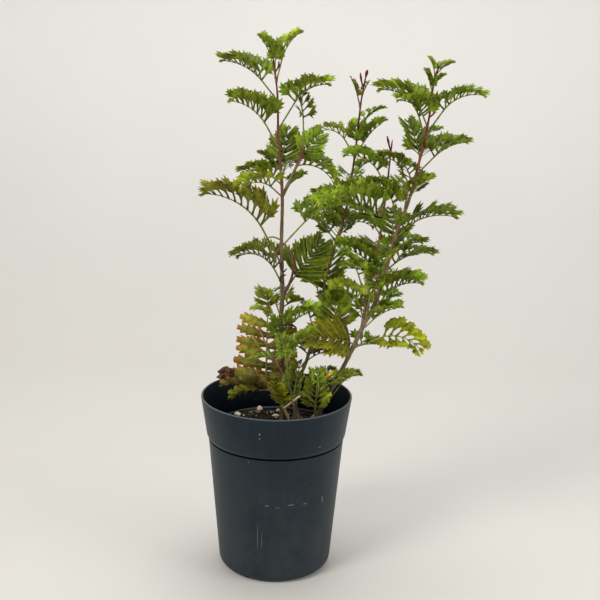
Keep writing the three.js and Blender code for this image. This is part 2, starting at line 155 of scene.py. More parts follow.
def newMaterial(name, roughness, specular, tint=(1, 1, 1)):
    material = bpy.data.materials.new(name)
    material.use_nodes = True
    tree = material.node_tree
    shader = tree.nodes["Principled BSDF"]
    shader.inputs["Roughness"].default_value = roughness
    shader.inputs["Specular IOR Level"].default_value = specular
    shader.inputs["Specular Tint"].default_value = (*tint, 1)
    return material, tree, shader


def node(tree, kind, **settings):
    made = tree.nodes.new(kind)
    inputs = settings.pop("inputs", {})
    for key, value in settings.items():
        setattr(made, key, value)
    for key, value in inputs.items():
        if isinstance(value, bpy.types.NodeSocket):
            tree.links.new(value, made.inputs[key])
        else:
            made.inputs[key].default_value = value
    return made


def treeOf(*values):  # the node tree of the first of them that is a socket
    return next(value.id_data for value in values if isinstance(value, bpy.types.NodeSocket))


def objectPlace(tree):
    return node(tree, "ShaderNodeTexCoord").outputs["Object"]


def placeByAxis(tree):
    return node(tree, "ShaderNodeSeparateXYZ", inputs={"Vector": objectPlace(tree)}).outputs


def stretched(tree, scale):  # Object coordinates, scaled by axis
    inputs = {"Vector": objectPlace(tree), "Scale": scale}
    return node(tree, "ShaderNodeMapping", inputs=inputs).outputs["Vector"]


def noise(tree, scale, detail=3.0, rough=0.55, vector=None):
    if vector is None:
        vector = objectPlace(tree)
    inputs = {"Vector": vector, "Scale": scale, "Detail": detail, "Roughness": rough}
    return node(tree, "ShaderNodeTexNoise", inputs=inputs).outputs["Fac"]


def spots(tree, scale, stretch, low, high):  # 1 at the middle of scattered cells, 0 beyond high
    inputs = {"Vector": stretched(tree, stretch), "Scale": scale}
    cells = node(tree, "ShaderNodeTexVoronoi", inputs=inputs)
    return inverse(ramp(cells.outputs["Distance"], low, high))


def ramp(value, low, high, smooth=True):  # 0 below low, 1 above high
    kind = "SMOOTHSTEP" if smooth else "LINEAR"
    inputs = {"Value": value, "From Min": low, "From Max": high}
    return node(treeOf(value), "ShaderNodeMapRange", interpolation_type=kind, inputs=inputs).outputs["Result"]


def span(value, low, high):  # 0 to 1 becomes low to high
    inputs = {"Value": value, "To Min": low, "To Max": high}
    return node(treeOf(value), "ShaderNodeMapRange", inputs=inputs).outputs["Result"]


def maths(kind, a, b=0.0):
    return node(treeOf(a, b), "ShaderNodeMath", operation=kind, inputs={0: a, 1: b}).outputs[0]


def times(*values):  # all of them multiplied
    return reduce(lambda a, b: maths("MULTIPLY", a, b), values)


def plus(a, b):
    return maths("ADD", a, b)


def minus(a, b):
    return maths("SUBTRACT", a, b)


def most(a, b):
    return maths("MAXIMUM", a, b)


def inverse(share):  # 1 minus it
    return minus(1.0, share)


def blend(share, a, b, kind="MIX"):
    tree = treeOf(share, a, b)
    made = node(tree, "ShaderNodeMix", data_type="RGBA", blend_type=kind)
    for key, value in (("Factor", share), ("A", a), ("B", b)):
        socket = next(s for s in made.inputs if s.name == key and s.enabled)
        if isinstance(value, bpy.types.NodeSocket):
            tree.links.new(value, socket)
        elif key == "Factor":
            socket.default_value = value
        else:
            socket.default_value = (*value, 1)
    return next(s for s in made.outputs if s.enabled)


def tinted(a, b):  # one colour times the other
    return blend(1.0, a, b, "MULTIPLY")


def gray(level):  # the same number three times over, as a colour
    return node(treeOf(level), "ShaderNodeCombineColor", inputs={i: level for i in range(3)}).outputs[0]


def mottled(value, depth):  # 0 to 1 becomes 1 - depth to 1 + depth
    return span(value, 1 - depth, 1 + depth)


def value(tree, name, kind="Fac"):
    return node(tree, "ShaderNodeAttribute", attribute_name=name).outputs[kind]


def bump(tree, shader, height, strength, distance):
    inputs = {"Height": height, "Strength": strength, "Distance": distance}
    tree.links.new(node(tree, "ShaderNodeBump", inputs=inputs).outputs["Normal"], shader.inputs["Normal"])


pot = {
    "height": 125,
    "rimRadius": 52.5,
    "wall": 1.3,
    "collarHeight": 26.5,
    "collarFootRadius": 48.8,
    "stepHeight": 3.5,
    "neckRadius": 47.3,
    "baseRadius": 39.7,  # at the top of the rounded bottom edge
    "edgeRadius": 7,
    "floorTop": 4,
    "channelHeight": 2.4,
    "channelInner": 14,
    "channelOuter": 29,
    "sides": 160,
    "drainHoles": 6,
    "drainHoleRadius": 3.5,
    "footNotches": 3,
    "footNotchWidth": 8,
    "footNotchHeight": 3,
    "firstNotchTurn": -113,
}
stepTop = pot["height"] - pot["collarHeight"]
neckHeight = stepTop - pot["stepHeight"]


leafLook = {
    "roughness": 0.34,
    "shinier": 0.1,  # how far the roughness falls and rises in patches
    "duller": 0.16,
    "specular": 0.22,
    "specularTint": (1.0, 1.0, 0.45),
    "mottle": 0.5,
    # painted shade and light: a lobe is darker at its foot, where its neighbours shade it, and lighter at its
    # end
    "paintedShadeAlongLobe": (0.44, 1.34),  # brightness along a lobe
    "dustyShare": 0.1,  # how much paler the dusty patches are
    "dust": (0.42, 0.42, 0.22),
    "veinLight": 0.5,
    "vein": (0.42, 0.47, 0.12),
    "sideVeinLight": 0.32,
    "sideVeinLean": 0.3,
    "sideVeinPhase": 30.0,  # radians from a lobe's foot to its end
    "marginLight": 0.42,  # how far margins and teeth turn yellow-green
    "margin": (0.36, 0.4, 0.05),
    "marginBrown": (0.4, 0.085, 0.014),
    "translucent": 0.2,
    "through": (0.86, 1.0, 0.3),  # tint of the light that comes through the blade
    "cloudScale": 300,
    "shineScale": 340,
    "rustScale": 700,
    "dustScale": 800,
    "grainScale": 1500,
}


# Leaf blade: its own top and underside colours, darker towards each lobe's foot and lighter
# towards its end as painted shade and light, a pale middle vein with side veins that run forward
# to the teeth, paler dusty patches, yellow-green margins, and red-brown at the margin where a leaf
# is rusty.
def makeLeafMaterial():
    look = leafLook
    rough = look["roughness"]
    material, tree, shader = newMaterial("grevilleaLeaf", rough, look["specular"], look["specularTint"])
    along, under, rusty = (value(tree, name) for name in ("along", "under", "rust"))
    topColor, underColor = (value(tree, name, "Color") for name in ("topColor", "underColor"))
    distance = maths("ABSOLUTE", value(tree, "acrossLobe"))
    middleVein = inverse(ramp(distance, 0.03, 0.2))
    # side veins: stripes of along minus part of the distance from the middle
    phase = minus(along, times(distance, look["sideVeinLean"]))
    stripes = maths("SINE", times(phase, look["sideVeinPhase"]))
    veins = most(middleVein, times(ramp(stripes, 0.72, 1.0), look["sideVeinLight"]))
    base = blend(under, topColor, underColor)
    clouds = mottled(ramp(noise(tree, look["cloudScale"], 4), 0.32, 0.68), look["mottle"])
    # painted shade and light along each lobe, darker at its foot and lighter at its end, over the clouds
    base = tinted(base, gray(times(clouds, span(along, *look["paintedShadeAlongLobe"]))))
    dusty = ramp(noise(tree, look["dustScale"], 4, 0.7), 0.54, 0.66)
    base = blend(times(dusty, look["dustyShare"]), base, look["dust"])
    veinColor = blend(0.5, underColor, look["vein"])
    base = blend(times(veins, look["veinLight"]), base, veinColor)
    edge = most(ramp(distance, 0.5, 1.0), ramp(along, 0.72, 1.0))
    pale = times(ramp(edge, 0.35, 1.0), inverse(rusty), look["marginLight"])
    base = blend(pale, base, look["margin"])
    patchy = span(ramp(noise(tree, look["rustScale"]), 0.3, 0.62), 0.55, 1.0)
    base = blend(times(edge, rusty, patchy), base, look["marginBrown"])
    tree.links.new(base, shader.inputs["Base Color"])
    shine = span(noise(tree, look["shineScale"]), rough - look["shinier"], rough + look["duller"])
    tree.links.new(shine, shader.inputs["Roughness"])
    relief = plus(times(veins, -0.6), noise(tree, look["grainScale"], 2))
    bump(tree, shader, relief, 0.4, 0.0005)
    glow = node(tree, "ShaderNodeBsdfTranslucent")
    tree.links.new(tinted(base, look["through"]), glow.inputs["Color"])
    parts = {0: look["translucent"], 1: shader.outputs[0], 2: glow.outputs[0]}
    mixed = node(tree, "ShaderNodeMixShader", inputs=parts)
    tree.links.new(mixed.outputs[0], tree.nodes["Material Output"].inputs["Surface"])
    return material


stemLook = {
    "roughness": 0.58,
    "specular": 0.24,
    "streaks": (0.55, 1.35),  # darkest and lightest
    "cork": (0.2, 0.165, 0.13),
    "corkShare": 0.75,
    "lenticel": (0.42, 0.33, 0.22),
    "lenticelShare": 0.6,
}


# Stems, stalks and ribs: their own colour, streaked along their length, with pale lenticels and
# grey-brown cork on the old wood.
def makeStemMaterial():
    look = stemLook
    material, tree, shader = newMaterial("grevilleaStem", look["roughness"], look["specular"])
    streaks = noise(tree, 900, 4, 0.6, stretched(tree, (1, 1, 0.12)))
    shade = span(ramp(streaks, 0.3, 0.7), *look["streaks"])
    base = tinted(value(tree, "stemColor", "Color"), gray(shade))
    old = value(tree, "age")
    cork = ramp(noise(tree, 420, 4, 0.65, stretched(tree, (1, 1, 0.35))), 0.5, 0.62)
    corky = times(cork, times(old, look["corkShare"]))
    base = blend(corky, base, look["cork"])
    dots = spots(tree, 620.0, (1, 1, 0.55), 0.12, 0.24)
    dotted = times(dots, times(old, look["lenticelShare"]))
    base = blend(dotted, base, look["lenticel"])
    tree.links.new(base, shader.inputs["Base Color"])
    tree.links.new(span(streaks, 0.42, 0.78), shader.inputs["Roughness"])
    bump(tree, shader, plus(streaks, times(cork, 0.6)), 0.5, 0.0005)
    return material


potLook = {
    "color": (0.005, 0.0105, 0.0165),
    "worn": (0.012, 0.0185, 0.025),
    "dust": (0.17, 0.17, 0.16),
    "dustShare": 0.2,
    "dustHeights": (0.11, -0.02),  # none at the first, most at the second
    "roughness": 0.42,
    "specular": 0.25,
    "specularTint": (0.72, 0.9, 1.0),
    "scuff": (0.3, 0.31, 0.3),
    "speckShare": 0.1,
    "nickShare": 0.4,
    # the inside: the plastic darkened to nearly black as painted shade
    "inside": (0.0005, 0.001, 0.0018),
    "splash": (0.007, 0.013, 0.021),
    "splashShare": 0.8,
    # painted highlight along the top edge of the inside step
    "paintedLedgeHighlight": (0.06, 0.078, 0.09),
    "rimWear": (0.09, 0.1, 0.11),
    "rimWearShare": 0.8,
    # painted shade in the crease under the collar
    "paintedCreaseShade": (0.001, 0.0014, 0.0018),
}

# Scuffs on the front of the pot: (x, height, width, tallness, strength), in millimetres.
potScuffs = [
    (-9.8, 114, 0.8, 1.1, 0.8),
    (-9.7, 110.8, 0.6, 0.8, 0.55),
    (-4.6, 60.8, 2.3, 0.5, 0.5),
    (2.6, 59.4, 2.6, 0.45, 0.32),
    (11.5, 61.2, 3.0, 0.7, 0.45),
    (21, 60.6, 2.2, 0.6, 0.4),
    (32.8, 60, 0.6, 3.4, 0.5),
    (-10.8, 36, 0.45, 15, 0.3),
    (-7.9, 34, 0.4, 11, 0.26),
    (30, 101.6, 1.4, 0.5, 0.5),
    (-17, 92, 0.7, 0.6, 0.45),
]


# 1 between low and high, fading to 0 over a soft distance on either side.
def band(height, low, high, soft):
    over = ramp(height, (low - soft) * mm, low * mm)
    return times(over, inverse(ramp(height, high * mm, (high + soft) * mm)))


# A scuff is 1 within an ellipse in X and Z, broken up by a fine noise.
def scuffMask(place, grain, scuff):
    x, height, width, tallness, strength = scuff
    aside = maths("DIVIDE", minus(place["X"], x * mm), width * mm)
    above = maths("DIVIDE", minus(place["Z"], height * mm), tallness * mm)
    away = plus(times(aside, aside), times(above, above))
    broken = plus(away, times(grain, 1.6))
    return times(inverse(ramp(broken, 0.8, 1.5)), strength)


# Pot plastic: dark slate, with soft vertical streaks, cloudy wear, a film of dust that thickens
# downwards, a worn rim, painted shade in the crease under the collar, and a few pale scuffs
# and specks. The inside is darkened to nearly black as painted shade, splashed with mix, with
# a painted highlight along its ledge.
def makePotMaterial():
    look = potLook
    tint = look["specularTint"]
    material, tree, shader = newMaterial("nurseryPotPlastic", look["roughness"], look["specular"], tint)
    place = placeByAxis(tree)
    height = place["Z"]
    inside = value(tree, "inside")
    streaks = noise(tree, 130, 4, 0.6, stretched(tree, (1, 1, 0.06)))
    clouds = noise(tree, 24, 5, 0.6)
    streaky = times(ramp(streaks, 0.35, 0.75), 0.5)
    wear = plus(streaky, times(ramp(clouds, 0.35, 0.7), 0.5))
    base = blend(wear, look["color"], look["worn"])
    film = ramp(noise(tree, 60, 5, 0.7), 0.1, 0.75)
    dust = times(ramp(height, *look["dustHeights"], False), film)
    base = blend(times(dust, look["dustShare"]), base, look["dust"])
    specks = ramp(noise(tree, 900, 3, 0.6), 0.66, 0.74)
    base = blend(times(specks, look["speckShare"]), base, look["scuff"])
    few = ramp(noise(tree, 38, 2), 0.62, 0.66)
    nicks = times(spots(tree, 75.0, (1, 1, 0.8), 0.03, 0.07), few)
    base = blend(times(nicks, look["nickShare"]), base, look["scuff"])
    grain = noise(tree, 2200, 3, 0.6)
    scuffed = 0.0
    for scuff in potScuffs:
        scuffed = most(scuffed, scuffMask(place, grain, scuff))
    front = maths("LESS_THAN", place["Y"], 0.0)
    base = blend(times(scuffed, front), base, look["scuff"])
    rim = ramp(height, (pot["height"] - 0.9) * mm, (pot["height"] - 0.3) * mm)
    base = blend(times(rim, look["rimWearShare"]), base, look["rimWear"])
    # painted shade: a dark, matt band in the crease under the collar, where shade falls
    paintedCreaseShadeBand = band(height, neckHeight - 0.5, neckHeight + 0.4, 0.5)
    paintedCreaseShade = times(paintedCreaseShadeBand, inverse(inside))
    base = blend(paintedCreaseShade, base, look["paintedCreaseShade"])
    # painted shade: the inside takes a near-black colour in place of the plastic's own, with splashes over it
    splash = times(ramp(noise(tree, 420, 4, 0.7), 0.52, 0.66), look["splashShare"])
    paintedShadeInsideColor = blend(splash, look["inside"], look["splash"])
    # painted highlight: a thin pale band along the inside ledge, where it catches light
    paintedLedgeHighlight = band(height, stepTop - 0.6, stepTop + 0.3, 0.3)
    paintedShadeInsideColor = blend(paintedLedgeHighlight, paintedShadeInsideColor, look["paintedLedgeHighlight"])
    tree.links.new(blend(inside, base, paintedShadeInsideColor), shader.inputs["Base Color"])
    rough = plus(span(clouds, 0.34, 0.5), times(dust, 0.2))
    dull = most(times(inside, 0.35), times(paintedCreaseShade, 0.5))
    tree.links.new(plus(rough, dull), shader.inputs["Roughness"])
    matt = most(times(inside, 0.9), paintedCreaseShade)
    shiny = times(inverse(matt), look["specular"])
    tree.links.new(shiny, shader.inputs["Specular IOR Level"])
    bump(tree, shader, plus(times(streaks, 0.5), noise(tree, 1400, 2)), 0.16, 0.0003)
    return material


# Crumbly matter: its own colour by point, mottled at two scales, rough, with a strong grain.
def makeCrumbMaterial(name, grainScale, mottle, roughness):
    material, tree, shader = newMaterial(name, roughness, 0.25)
    coarse = mottled(noise(tree, grainScale * 0.4), mottle)
    fine = mottled(noise(tree, grainScale, 4, 0.7), mottle)
    base = tinted(value(tree, "crumbColor", "Color"), gray(times(coarse, fine)))
    tree.links.new(base, shader.inputs["Base Color"])
    bump(tree, shader, noise(tree, grainScale, 5, 0.75), 0.8, 0.0006)
    return material


leafMaterial = makeLeafMaterial()
stemMaterial = makeStemMaterial()
potMaterial = makePotMaterial()
mixMaterial = makeCrumbMaterial("pottingMix", 1100, 0.55, 0.95)
pumiceMaterial = makeCrumbMaterial("pumiceStone", 1900, 0.16, 0.9)
barkMaterial = makeCrumbMaterial("barkChip", 1500, 0.4, 0.85)
print("materials made")


def insideRadius(height):  # of the pot, under its step
    share = (height - pot["edgeRadius"]) / (neckHeight - pot["edgeRadius"])
    return pot["baseRadius"] + (pot["neckRadius"] - pot["baseRadius"]) * share - pot["wall"]


# A profile with soft corners: each corner (radius, height, softness) becomes a curve whose two
# ends lie its softness away along both edges, and which the corner pulls towards itself.
def softened(corners, steps=5):
    corners = np.asarray(corners, float)
    here = corners[1:-1, :2]
    soft = corners[1:-1, 2:3]
    before = here + unit(corners[:-2, :2] - here) * soft
    after = here + unit(corners[2:, :2] - here) * soft
    t = np.linspace(0, 1, steps)[None, :, None]
    curve = before[:, None] * (1 - t) ** 2 + here[:, None] * 2 * t * (1 - t) + after[:, None] * t**2
    return np.concatenate([corners[:1, :2], curve.reshape(-1, 2), corners[-1:, :2]])


# A turned surface: the profile's radius times cosine and sine of the turn, and its height.
def latheSurface(profile, sides):
    turn = np.arange(sides) * 2 * np.pi / sides
    radius, height = profile[1:-1, 0:1], profile[1:-1, 1:2]
    rings = [radius * np.cos(turn), radius * np.sin(turn), np.repeat(height, sides, 1)]
    poles = np.array([[0, 0, profile[0, 1]], [0, 0, profile[-1, 1]]])
    points = np.concatenate([np.stack(rings, -1).reshape(-1, 3), poles])
    return points, tubeFaces(len(radius), sides)


# A closed box from two opposite corners, turned about Z, for cutting.
def boxPatch(low, high, turn):
    picks = np.array([[x, y, z] for z in (0, 1) for y in (0, 1) for x in (0, 1)])
    points = np.where(picks == 0, low, high)
    c, s = math.cos(turn), math.sin(turn)
    points = points @ np.array([[c, s, 0], [-s, c, 0], [0, 0, 1]])
    faces = np.array([[0, 2, 3, 1], [4, 5, 7, 6], [0, 1, 5, 4], [2, 6, 7, 3], [0, 4, 6, 2], [1, 3, 7, 5]])
    return points * mm, [faces], 0, {}


# A drain hole's cutter: an upright round bar at reach from the middle of the floor.
def barPatch(reach, turn, radius):
    low, high = -2, pot["floorTop"] + 5
    path = np.array([[reach * math.cos(turn), reach * math.sin(turn), z] for z in (low, high)]) * mm
    across, up = np.array([[1.0, 0, 0]] * 2), np.array([[0, 1.0, 0]] * 2)
    size = np.full(2, radius * mm)
    return *profileAlong(path, across, up, size, size, 28), 0, {}


# The pot: a turned wall with soft corners, less the drain holes and the notches of its foot.
def makePot():
    edge = pot["edgeRadius"]
    foot = pot["baseRadius"] - edge
    wall, floor, rimTop = pot["wall"], pot["floorTop"], pot["height"]
    inner, outer, ceiling = pot["channelInner"], pot["channelOuter"], pot["channelHeight"]
    roundEdge = [
        (foot + edge * math.sin(turn), edge * (1 - math.cos(turn)), 0.3)
        for turn in np.radians([8, 20, 34, 48, 62, 76, 88])
    ]
    corners = [
        (0, 0, 0),
        (inner, 0, 0.3),
        (inner + 1, ceiling, 0.3),
        (outer, ceiling, 0.3),
        (outer + 1, 0, 0.3),
        *roundEdge,
        (pot["neckRadius"], neckHeight + 0.25, 0.3),
        (pot["neckRadius"] + 0.15, neckHeight + 0.5, 0.1),
        (pot["collarFootRadius"] - 0.3, stepTop - 0.8, 0.7),
        (pot["rimRadius"], rimTop - 0.3, 0.4),
        (pot["rimRadius"] - wall, rimTop, 0.4),
        (pot["collarFootRadius"] - wall, stepTop, 0.8),
        (insideRadius(neckHeight) - 0.4, neckHeight - 0.5, 0.5),
        (insideRadius(floor + 2), floor + 2, 1.5),
        (insideRadius(floor) - 2, floor, 0.8),
        (0, floor, 0),
    ]
    points, faces = latheSurface(softened(corners) * mm, pot["sides"])
    # the inside is what lies within the middle of the wall, over the floor and under the rim
    lowest = floor - 0.1
    heights = [lowest, neckHeight, stepTop, rimTop - 0.2]
    middles = [foot, pot["neckRadius"] - 0.7, pot["collarFootRadius"] - 0.7, pot["rimRadius"] - 0.9]
    middle = np.interp(points[:, 2] / mm, heights, middles) * mm
    within = (points[:, 2] > lowest * mm) & (points[:, 2] < (rimTop - 0.6) * mm)
    inside = ((np.hypot(points[:, 0], points[:, 1]) < middle) & within).astype(float)
    piece = makePiece("nursery_pot", [(points, faces, 0, {"inside": inside})], [potMaterial])

    turns = (np.arange(pot["drainHoles"]) + 0.5) * 2 * np.pi / pot["drainHoles"]
    cutters = [barPatch((inner + outer) / 2, turn, pot["drainHoleRadius"]) for turn in turns]
    half = pot["footNotchWidth"] / 2
    low, high = np.array([outer, -half, -2]), np.array([outer + 16, half, pot["footNotchHeight"]])
    for i in range(pot["footNotches"]):
        turn = pot["firstNotchTurn"] + i * 360 / pot["footNotches"]
        cutters.append(boxPatch(low, high, math.radians(turn)))
    cutter = makePiece("cutter", cutters, [potMaterial])
    cut = piece.modifiers.new("cut", "BOOLEAN")
    cut.operation, cut.solver, cut.object = "DIFFERENCE", "EXACT", cutter
    seen = piece.evaluated_get(bpy.context.evaluated_depsgraph_get())
    mesh = bpy.data.meshes.new_from_object(seen)
    piece.modifiers.clear()
    piece.data = mesh
    bpy.data.objects.remove(cutter)
    mesh.shade_smooth()
    mesh.set_sharp_from_angle(angle=math.radians(38))
    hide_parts("pot")


makePot()
print("pot made")


mix = {
    "top": 97.5,
    "relief": 1.2,
    "waves": [(0.5, 0.21, 0.12, 0.6), (0.3, 0.53, -0.47, 1.1), (0.2, 0.44, 0.61, 1.6)],
    "fineRelief": 0.35,
    "color": (0.012, 0.0095, 0.0075),
    "sides": 120,
    "rings": 44,
    "wallGap": 0.3,
    "crumbReach": 43.5,
    "seed": 7,
}


# Height of the mix: low clods, as a sum of waves, and finer waves over them.
def mixHeight(x, y, fine=mix["fineRelief"]):
    clods = sum(share * np.sin(a * x + b * y + shift) for share, a, b, shift in mix["waves"])
    small = np.sin(1.7 * x + 0.6) * np.cos(1.5 * y - 0.4) + 0.6 * np.sin(2.9 * x - 2.3 * y)
    return mix["top"] + mix["relief"] * clods + fine * small


# The mix: a disc of rings whose height is the clods, over a plain wall and floor.
def makeMix():
    top = mix["top"]
    edge = insideRadius(top) - mix["wallGap"]
    low = pot["floorTop"] + mix["wallGap"]
    foot = np.linspace(0.9, 1, 2) * (insideRadius(low) - 2)
    radius = np.concatenate([[0], foot, np.linspace(1, 0.02, mix["rings"]) * edge, [0]])
    height = np.concatenate([[low, low, low + 2], np.full(mix["rings"] + 1, top)])
    points, faces = latheSurface(np.stack([radius, height], 1), mix["sides"])
    isTop = (points[:, 2] > top - 1) & (np.hypot(points[:, 0], points[:, 1]) < edge - 0.01)
    points[isTop, 2] = mixHeight(points[isTop, 0], points[isTop, 1])
    values = {"crumbColor": withAlpha(np.tile(mix["color"], (len(points), 1)))}
    piece = makePiece("potting_mix_body", [(points * mm, faces, 0, values)], [mixMaterial])
    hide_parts("potting_mix")


# Lumps: balls of latitude rings whose radius is one plus three waves of seeded heading, stretched
# by axis, turned at random and set at their centres. All lumps are worked out in one array.
def lumps(random, centres, sizes, stretch, rings, sides, rough):
    count = len(centres)
    latitude = np.linspace(-np.pi / 2, np.pi / 2, rings + 2)[1:-1, None]
    longitude = np.arange(sides) * 2 * np.pi / sides
    flatRing = [np.cos(latitude) * np.cos(longitude), np.cos(latitude) * np.sin(longitude)]
    ring = np.stack([*flatRing, np.repeat(np.sin(latitude), sides, 1)], -1).reshape(-1, 3)
    ball = np.concatenate([ring, [[0, 0, -1], [0, 0, 1]]])
    headings = random.normal(size=(count, 3, 3)) * 2.1
    shifts = random.uniform(0, 6.28, (count, 3))
    waves = np.sin(np.einsum("pc,nwc->nwp", ball, headings) + shifts[..., None]).sum(1)
    shape = ball[None] * (1 + rough * waves)[..., None] * stretch[:, None]
    turns, _ = np.linalg.qr(random.normal(size=(count, 3, 3)))
    turns *= np.sign(np.linalg.det(turns))[:, None, None]
    flat = np.linspace(0, 6.28, count) + random.uniform(0, 6.28, count)
    c, s, zero, one = np.cos(flat), np.sin(flat), np.zeros(count), np.ones(count)
    spin = np.stack([c, -s, zero, s, c, zero, zero, zero, one], 1).reshape(-1, 3, 3)
    lying = stretch.max(1) > 1.6 * stretch.min(1)  # long and flat ones lie down
    turns[lying] = spin[lying]
    points = np.einsum("npc,ndc->npd", shape, turns) * sizes[:, None, None] + centres[:, None]
    faces = copiedFaces(tubeFaces(rings, sides), count, len(ball))
    return points.reshape(-1, 3), faces, len(ball)


def onMix(random, count):  # places spread evenly over the mix
    radius = mix["crumbReach"] * np.sqrt(random.uniform(0, 1, count))
    turn = random.uniform(0, 2 * np.pi, count)
    x, y = radius * np.cos(turn), radius * np.sin(turn)
    return np.stack([x, y, mixHeight(x, y)], 1)


def paint(random, palette, count, each, spread):  # a colour for each lump, copied to its points
    picked = np.asarray(palette)[random.integers(0, len(palette), count)]
    shade = random.uniform(1 - spread, 1 + spread, (count, 1))
    return np.repeat(withAlpha(picked * shade), each, 0)


# What lies loose on the mix. A lump is raised by a height and a share of its size, is made longer
# and flatter by draws between two numbers, and has rings, sides and a roughness as its form.
looseMatter = {
    "mix_crumbs": {
        "slot": "mix",
        "material": mixMaterial,
        "count": 2600,
        "size": lambda random, count: random.gamma(4.0, 0.17, count).clip(0.3, 1.7),
        "raised": (0, 0.25),
        "longer": (1, 1.6),
        "flatter": (0.55, 0.9),
        "form": (3, 6, 0.16),
        "shadeSpread": 0.25,
        "palette": [
            (0.011, 0.0085, 0.0065), (0.02, 0.014, 0.009), (0.032, 0.021, 0.012), (0.009, 0.008, 0.008),
        ],
    },
    "loose_bark": {
        "slot": "bark",
        "material": barkMaterial,
        "count": 150,
        "size": lambda random, count: random.uniform(0.35, 1.0, count),
        "raised": (0.3, 0),
        "longer": (1.4, 3.4),
        "flatter": (0.3, 0.55),
        "form": (4, 7, 0.1),
        "shadeSpread": 0.3,
        "palette": [
            (0.19, 0.105, 0.045), (0.28, 0.17, 0.08), (0.085, 0.045, 0.02), (0.12, 0.075, 0.04),
            (0.33, 0.24, 0.14),
        ],
    },
    "loose_pumice": {
        "slot": "pumice",
        "material": pumiceMaterial,
        "count": 46,
        "size": lambda random, count: random.uniform(0.35, 1.1, count),
        "raised": (0, 0.4),
        "longer": (1, 1.3),
        "flatter": (0.75, 1),
        "form": (5, 8, 0.12),
        "shadeSpread": 0.15,
        "palette": [(0.62, 0.56, 0.48), (0.5, 0.43, 0.34), (0.7, 0.64, 0.57)],
    },
}


def makeLooseMatter():
    random = np.random.default_rng(mix["seed"])
    for name, loose in looseMatter.items():
        count = loose["count"]
        centres = onMix(random, count)
        sizes = loose["size"](random, count)
        centres[:, 2] += loose["raised"][0] + sizes * loose["raised"][1]
        long, flat = random.uniform(*loose["longer"], count), random.uniform(*loose["flatter"], count)
        stretch = np.stack([long, np.ones(count), flat], 1)
        points, faces, each = lumps(random, centres, sizes, stretch, *loose["form"])
        values = {"crumbColor": paint(random, loose["palette"], count, each, loose["shadeSpread"])}
        piece = makePiece(name, [(points * mm, faces, 0, values)], [loose["material"]])


# The frame's own grains, each a finer lump in the same place: [node, x, y, size, stretch, colour].
grains = [
    ["pumice_1", -13.3, 41, 2.6, 1, (0.64, 0.5, 0.42)],
    ["pumice_2", -1.2, 29.7, 2.2, 1.3, (0.62, 0.5, 0.38)],
    ["pumice_3", -29, 31, 2.2, 1.3, (0.62, 0.55, 0.46)],
    ["pumice_4", 28, 30, 2.1, 1.1, (0.6, 0.53, 0.45)],
    ["pumice_5", -14, -34, 2.2, 1.2, (0.62, 0.56, 0.5)],
    ["bark_chip_1", -5.5, 35, 1.7, 1.7, (0.36, 0.25, 0.12)],
    ["bark_chip_2", 0.5, 41, 1.5, 1.6, (0.4, 0.3, 0.18)],
    ["bark_chip_3", -17.5, 34, 1.9, 1.8, (0.17, 0.1, 0.045)],
]

# By kind of grain: its material, its slot, how flat it is, and its roughness.
grainKinds = {
    "pumice": (pumiceMaterial, "pumice", 0.8, 0.05),
    "bark": (barkMaterial, "bark", 0.62, 0.09),
}
grainForm = {"scale": 0.97, "raised": 0.35, "rings": 12, "sides": 20, "seed": 40}


# A grain is one lump that lies on the clods, raised by a share of its size.
def makeGrains():
    form = grainForm
    for i, (name, x, y, size, stretch, color) in enumerate(grains):
        random = np.random.default_rng(form["seed"] + i)
        material, slotName, flat, rough = grainKinds[name.split("_")[0]]
        centre = np.array([[x, y, mixHeight(x, y, 0) + size * form["raised"]]])
        sizes, axes = np.array([size * form["scale"]]), np.array([[stretch, 1.0, flat]])
        points, faces, each = lumps(random, centre, sizes, axes, form["rings"], form["sides"], rough)
        values = {"crumbColor": np.tile([*color, 1.0], (each, 1))}
        piece = makePiece(name + "_grain", [(points * mm, faces, 0, values)], [material])
        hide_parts(name)


makeMix()
makeLooseMatter()
makeGrains()
print("potting mix made")


# Leaf colours: the top, the underside, and how rusty the margins are. The number after a hue is a
# brightness step, set leaf by leaf to how lit or shaded each leaf looks, so it is partly the leaf's
# own tone and partly painted light and shade.
leafTones = {
    "fresh2": ((0.072, 0.12, 0.00144), (0.107, 0.156, 0.006), 0.08),
    "fresh3": ((0.099, 0.165, 0.00198), (0.144, 0.211, 0.00825), 0.08),
    "fresh4": ((0.129, 0.215, 0.00258), (0.184, 0.272, 0.0108), 0.08),
    "fresh5": ((0.156, 0.27, 0.006), (0.225, 0.34, 0.018), 0.08),
    "fresh6": ((0.19, 0.325, 0.014), (0.28, 0.41, 0.03), 0.08),
    "green4": ((0.163, 0.215, 0.00258), (0.231, 0.272, 0.0108), 0.1),
    "green5": ((0.209, 0.275, 0.0033), (0.292, 0.346, 0.0138), 0.1),
    "green6": ((0.24, 0.335, 0.014), (0.34, 0.42, 0.03), 0.1),
    "olive3": ((0.11, 0.135, 0.004), (0.17, 0.17, 0.008), 0.28),
    "olive4": ((0.209, 0.215, 0.00258), (0.292, 0.272, 0.0108), 0.28),
    "olive5": ((0.24, 0.275, 0.0033), (0.34, 0.346, 0.0138), 0.28),
    "olive6": ((0.3, 0.35, 0.0042), (0.42, 0.437, 0.0175), 0.28),
    "pale": ((0.3, 0.38, 0.035), (0.46, 0.52, 0.09), 0.2),
    "bronze": ((0.25, 0.25, 0.03), (0.28, 0.25, 0.05), 1.0),
    "rusty": ((0.15, 0.17, 0.035), (0.22, 0.22, 0.06), 0.85),
    "young": ((0.33, 0.52, 0.03), (0.42, 0.58, 0.08), 0.05),
}

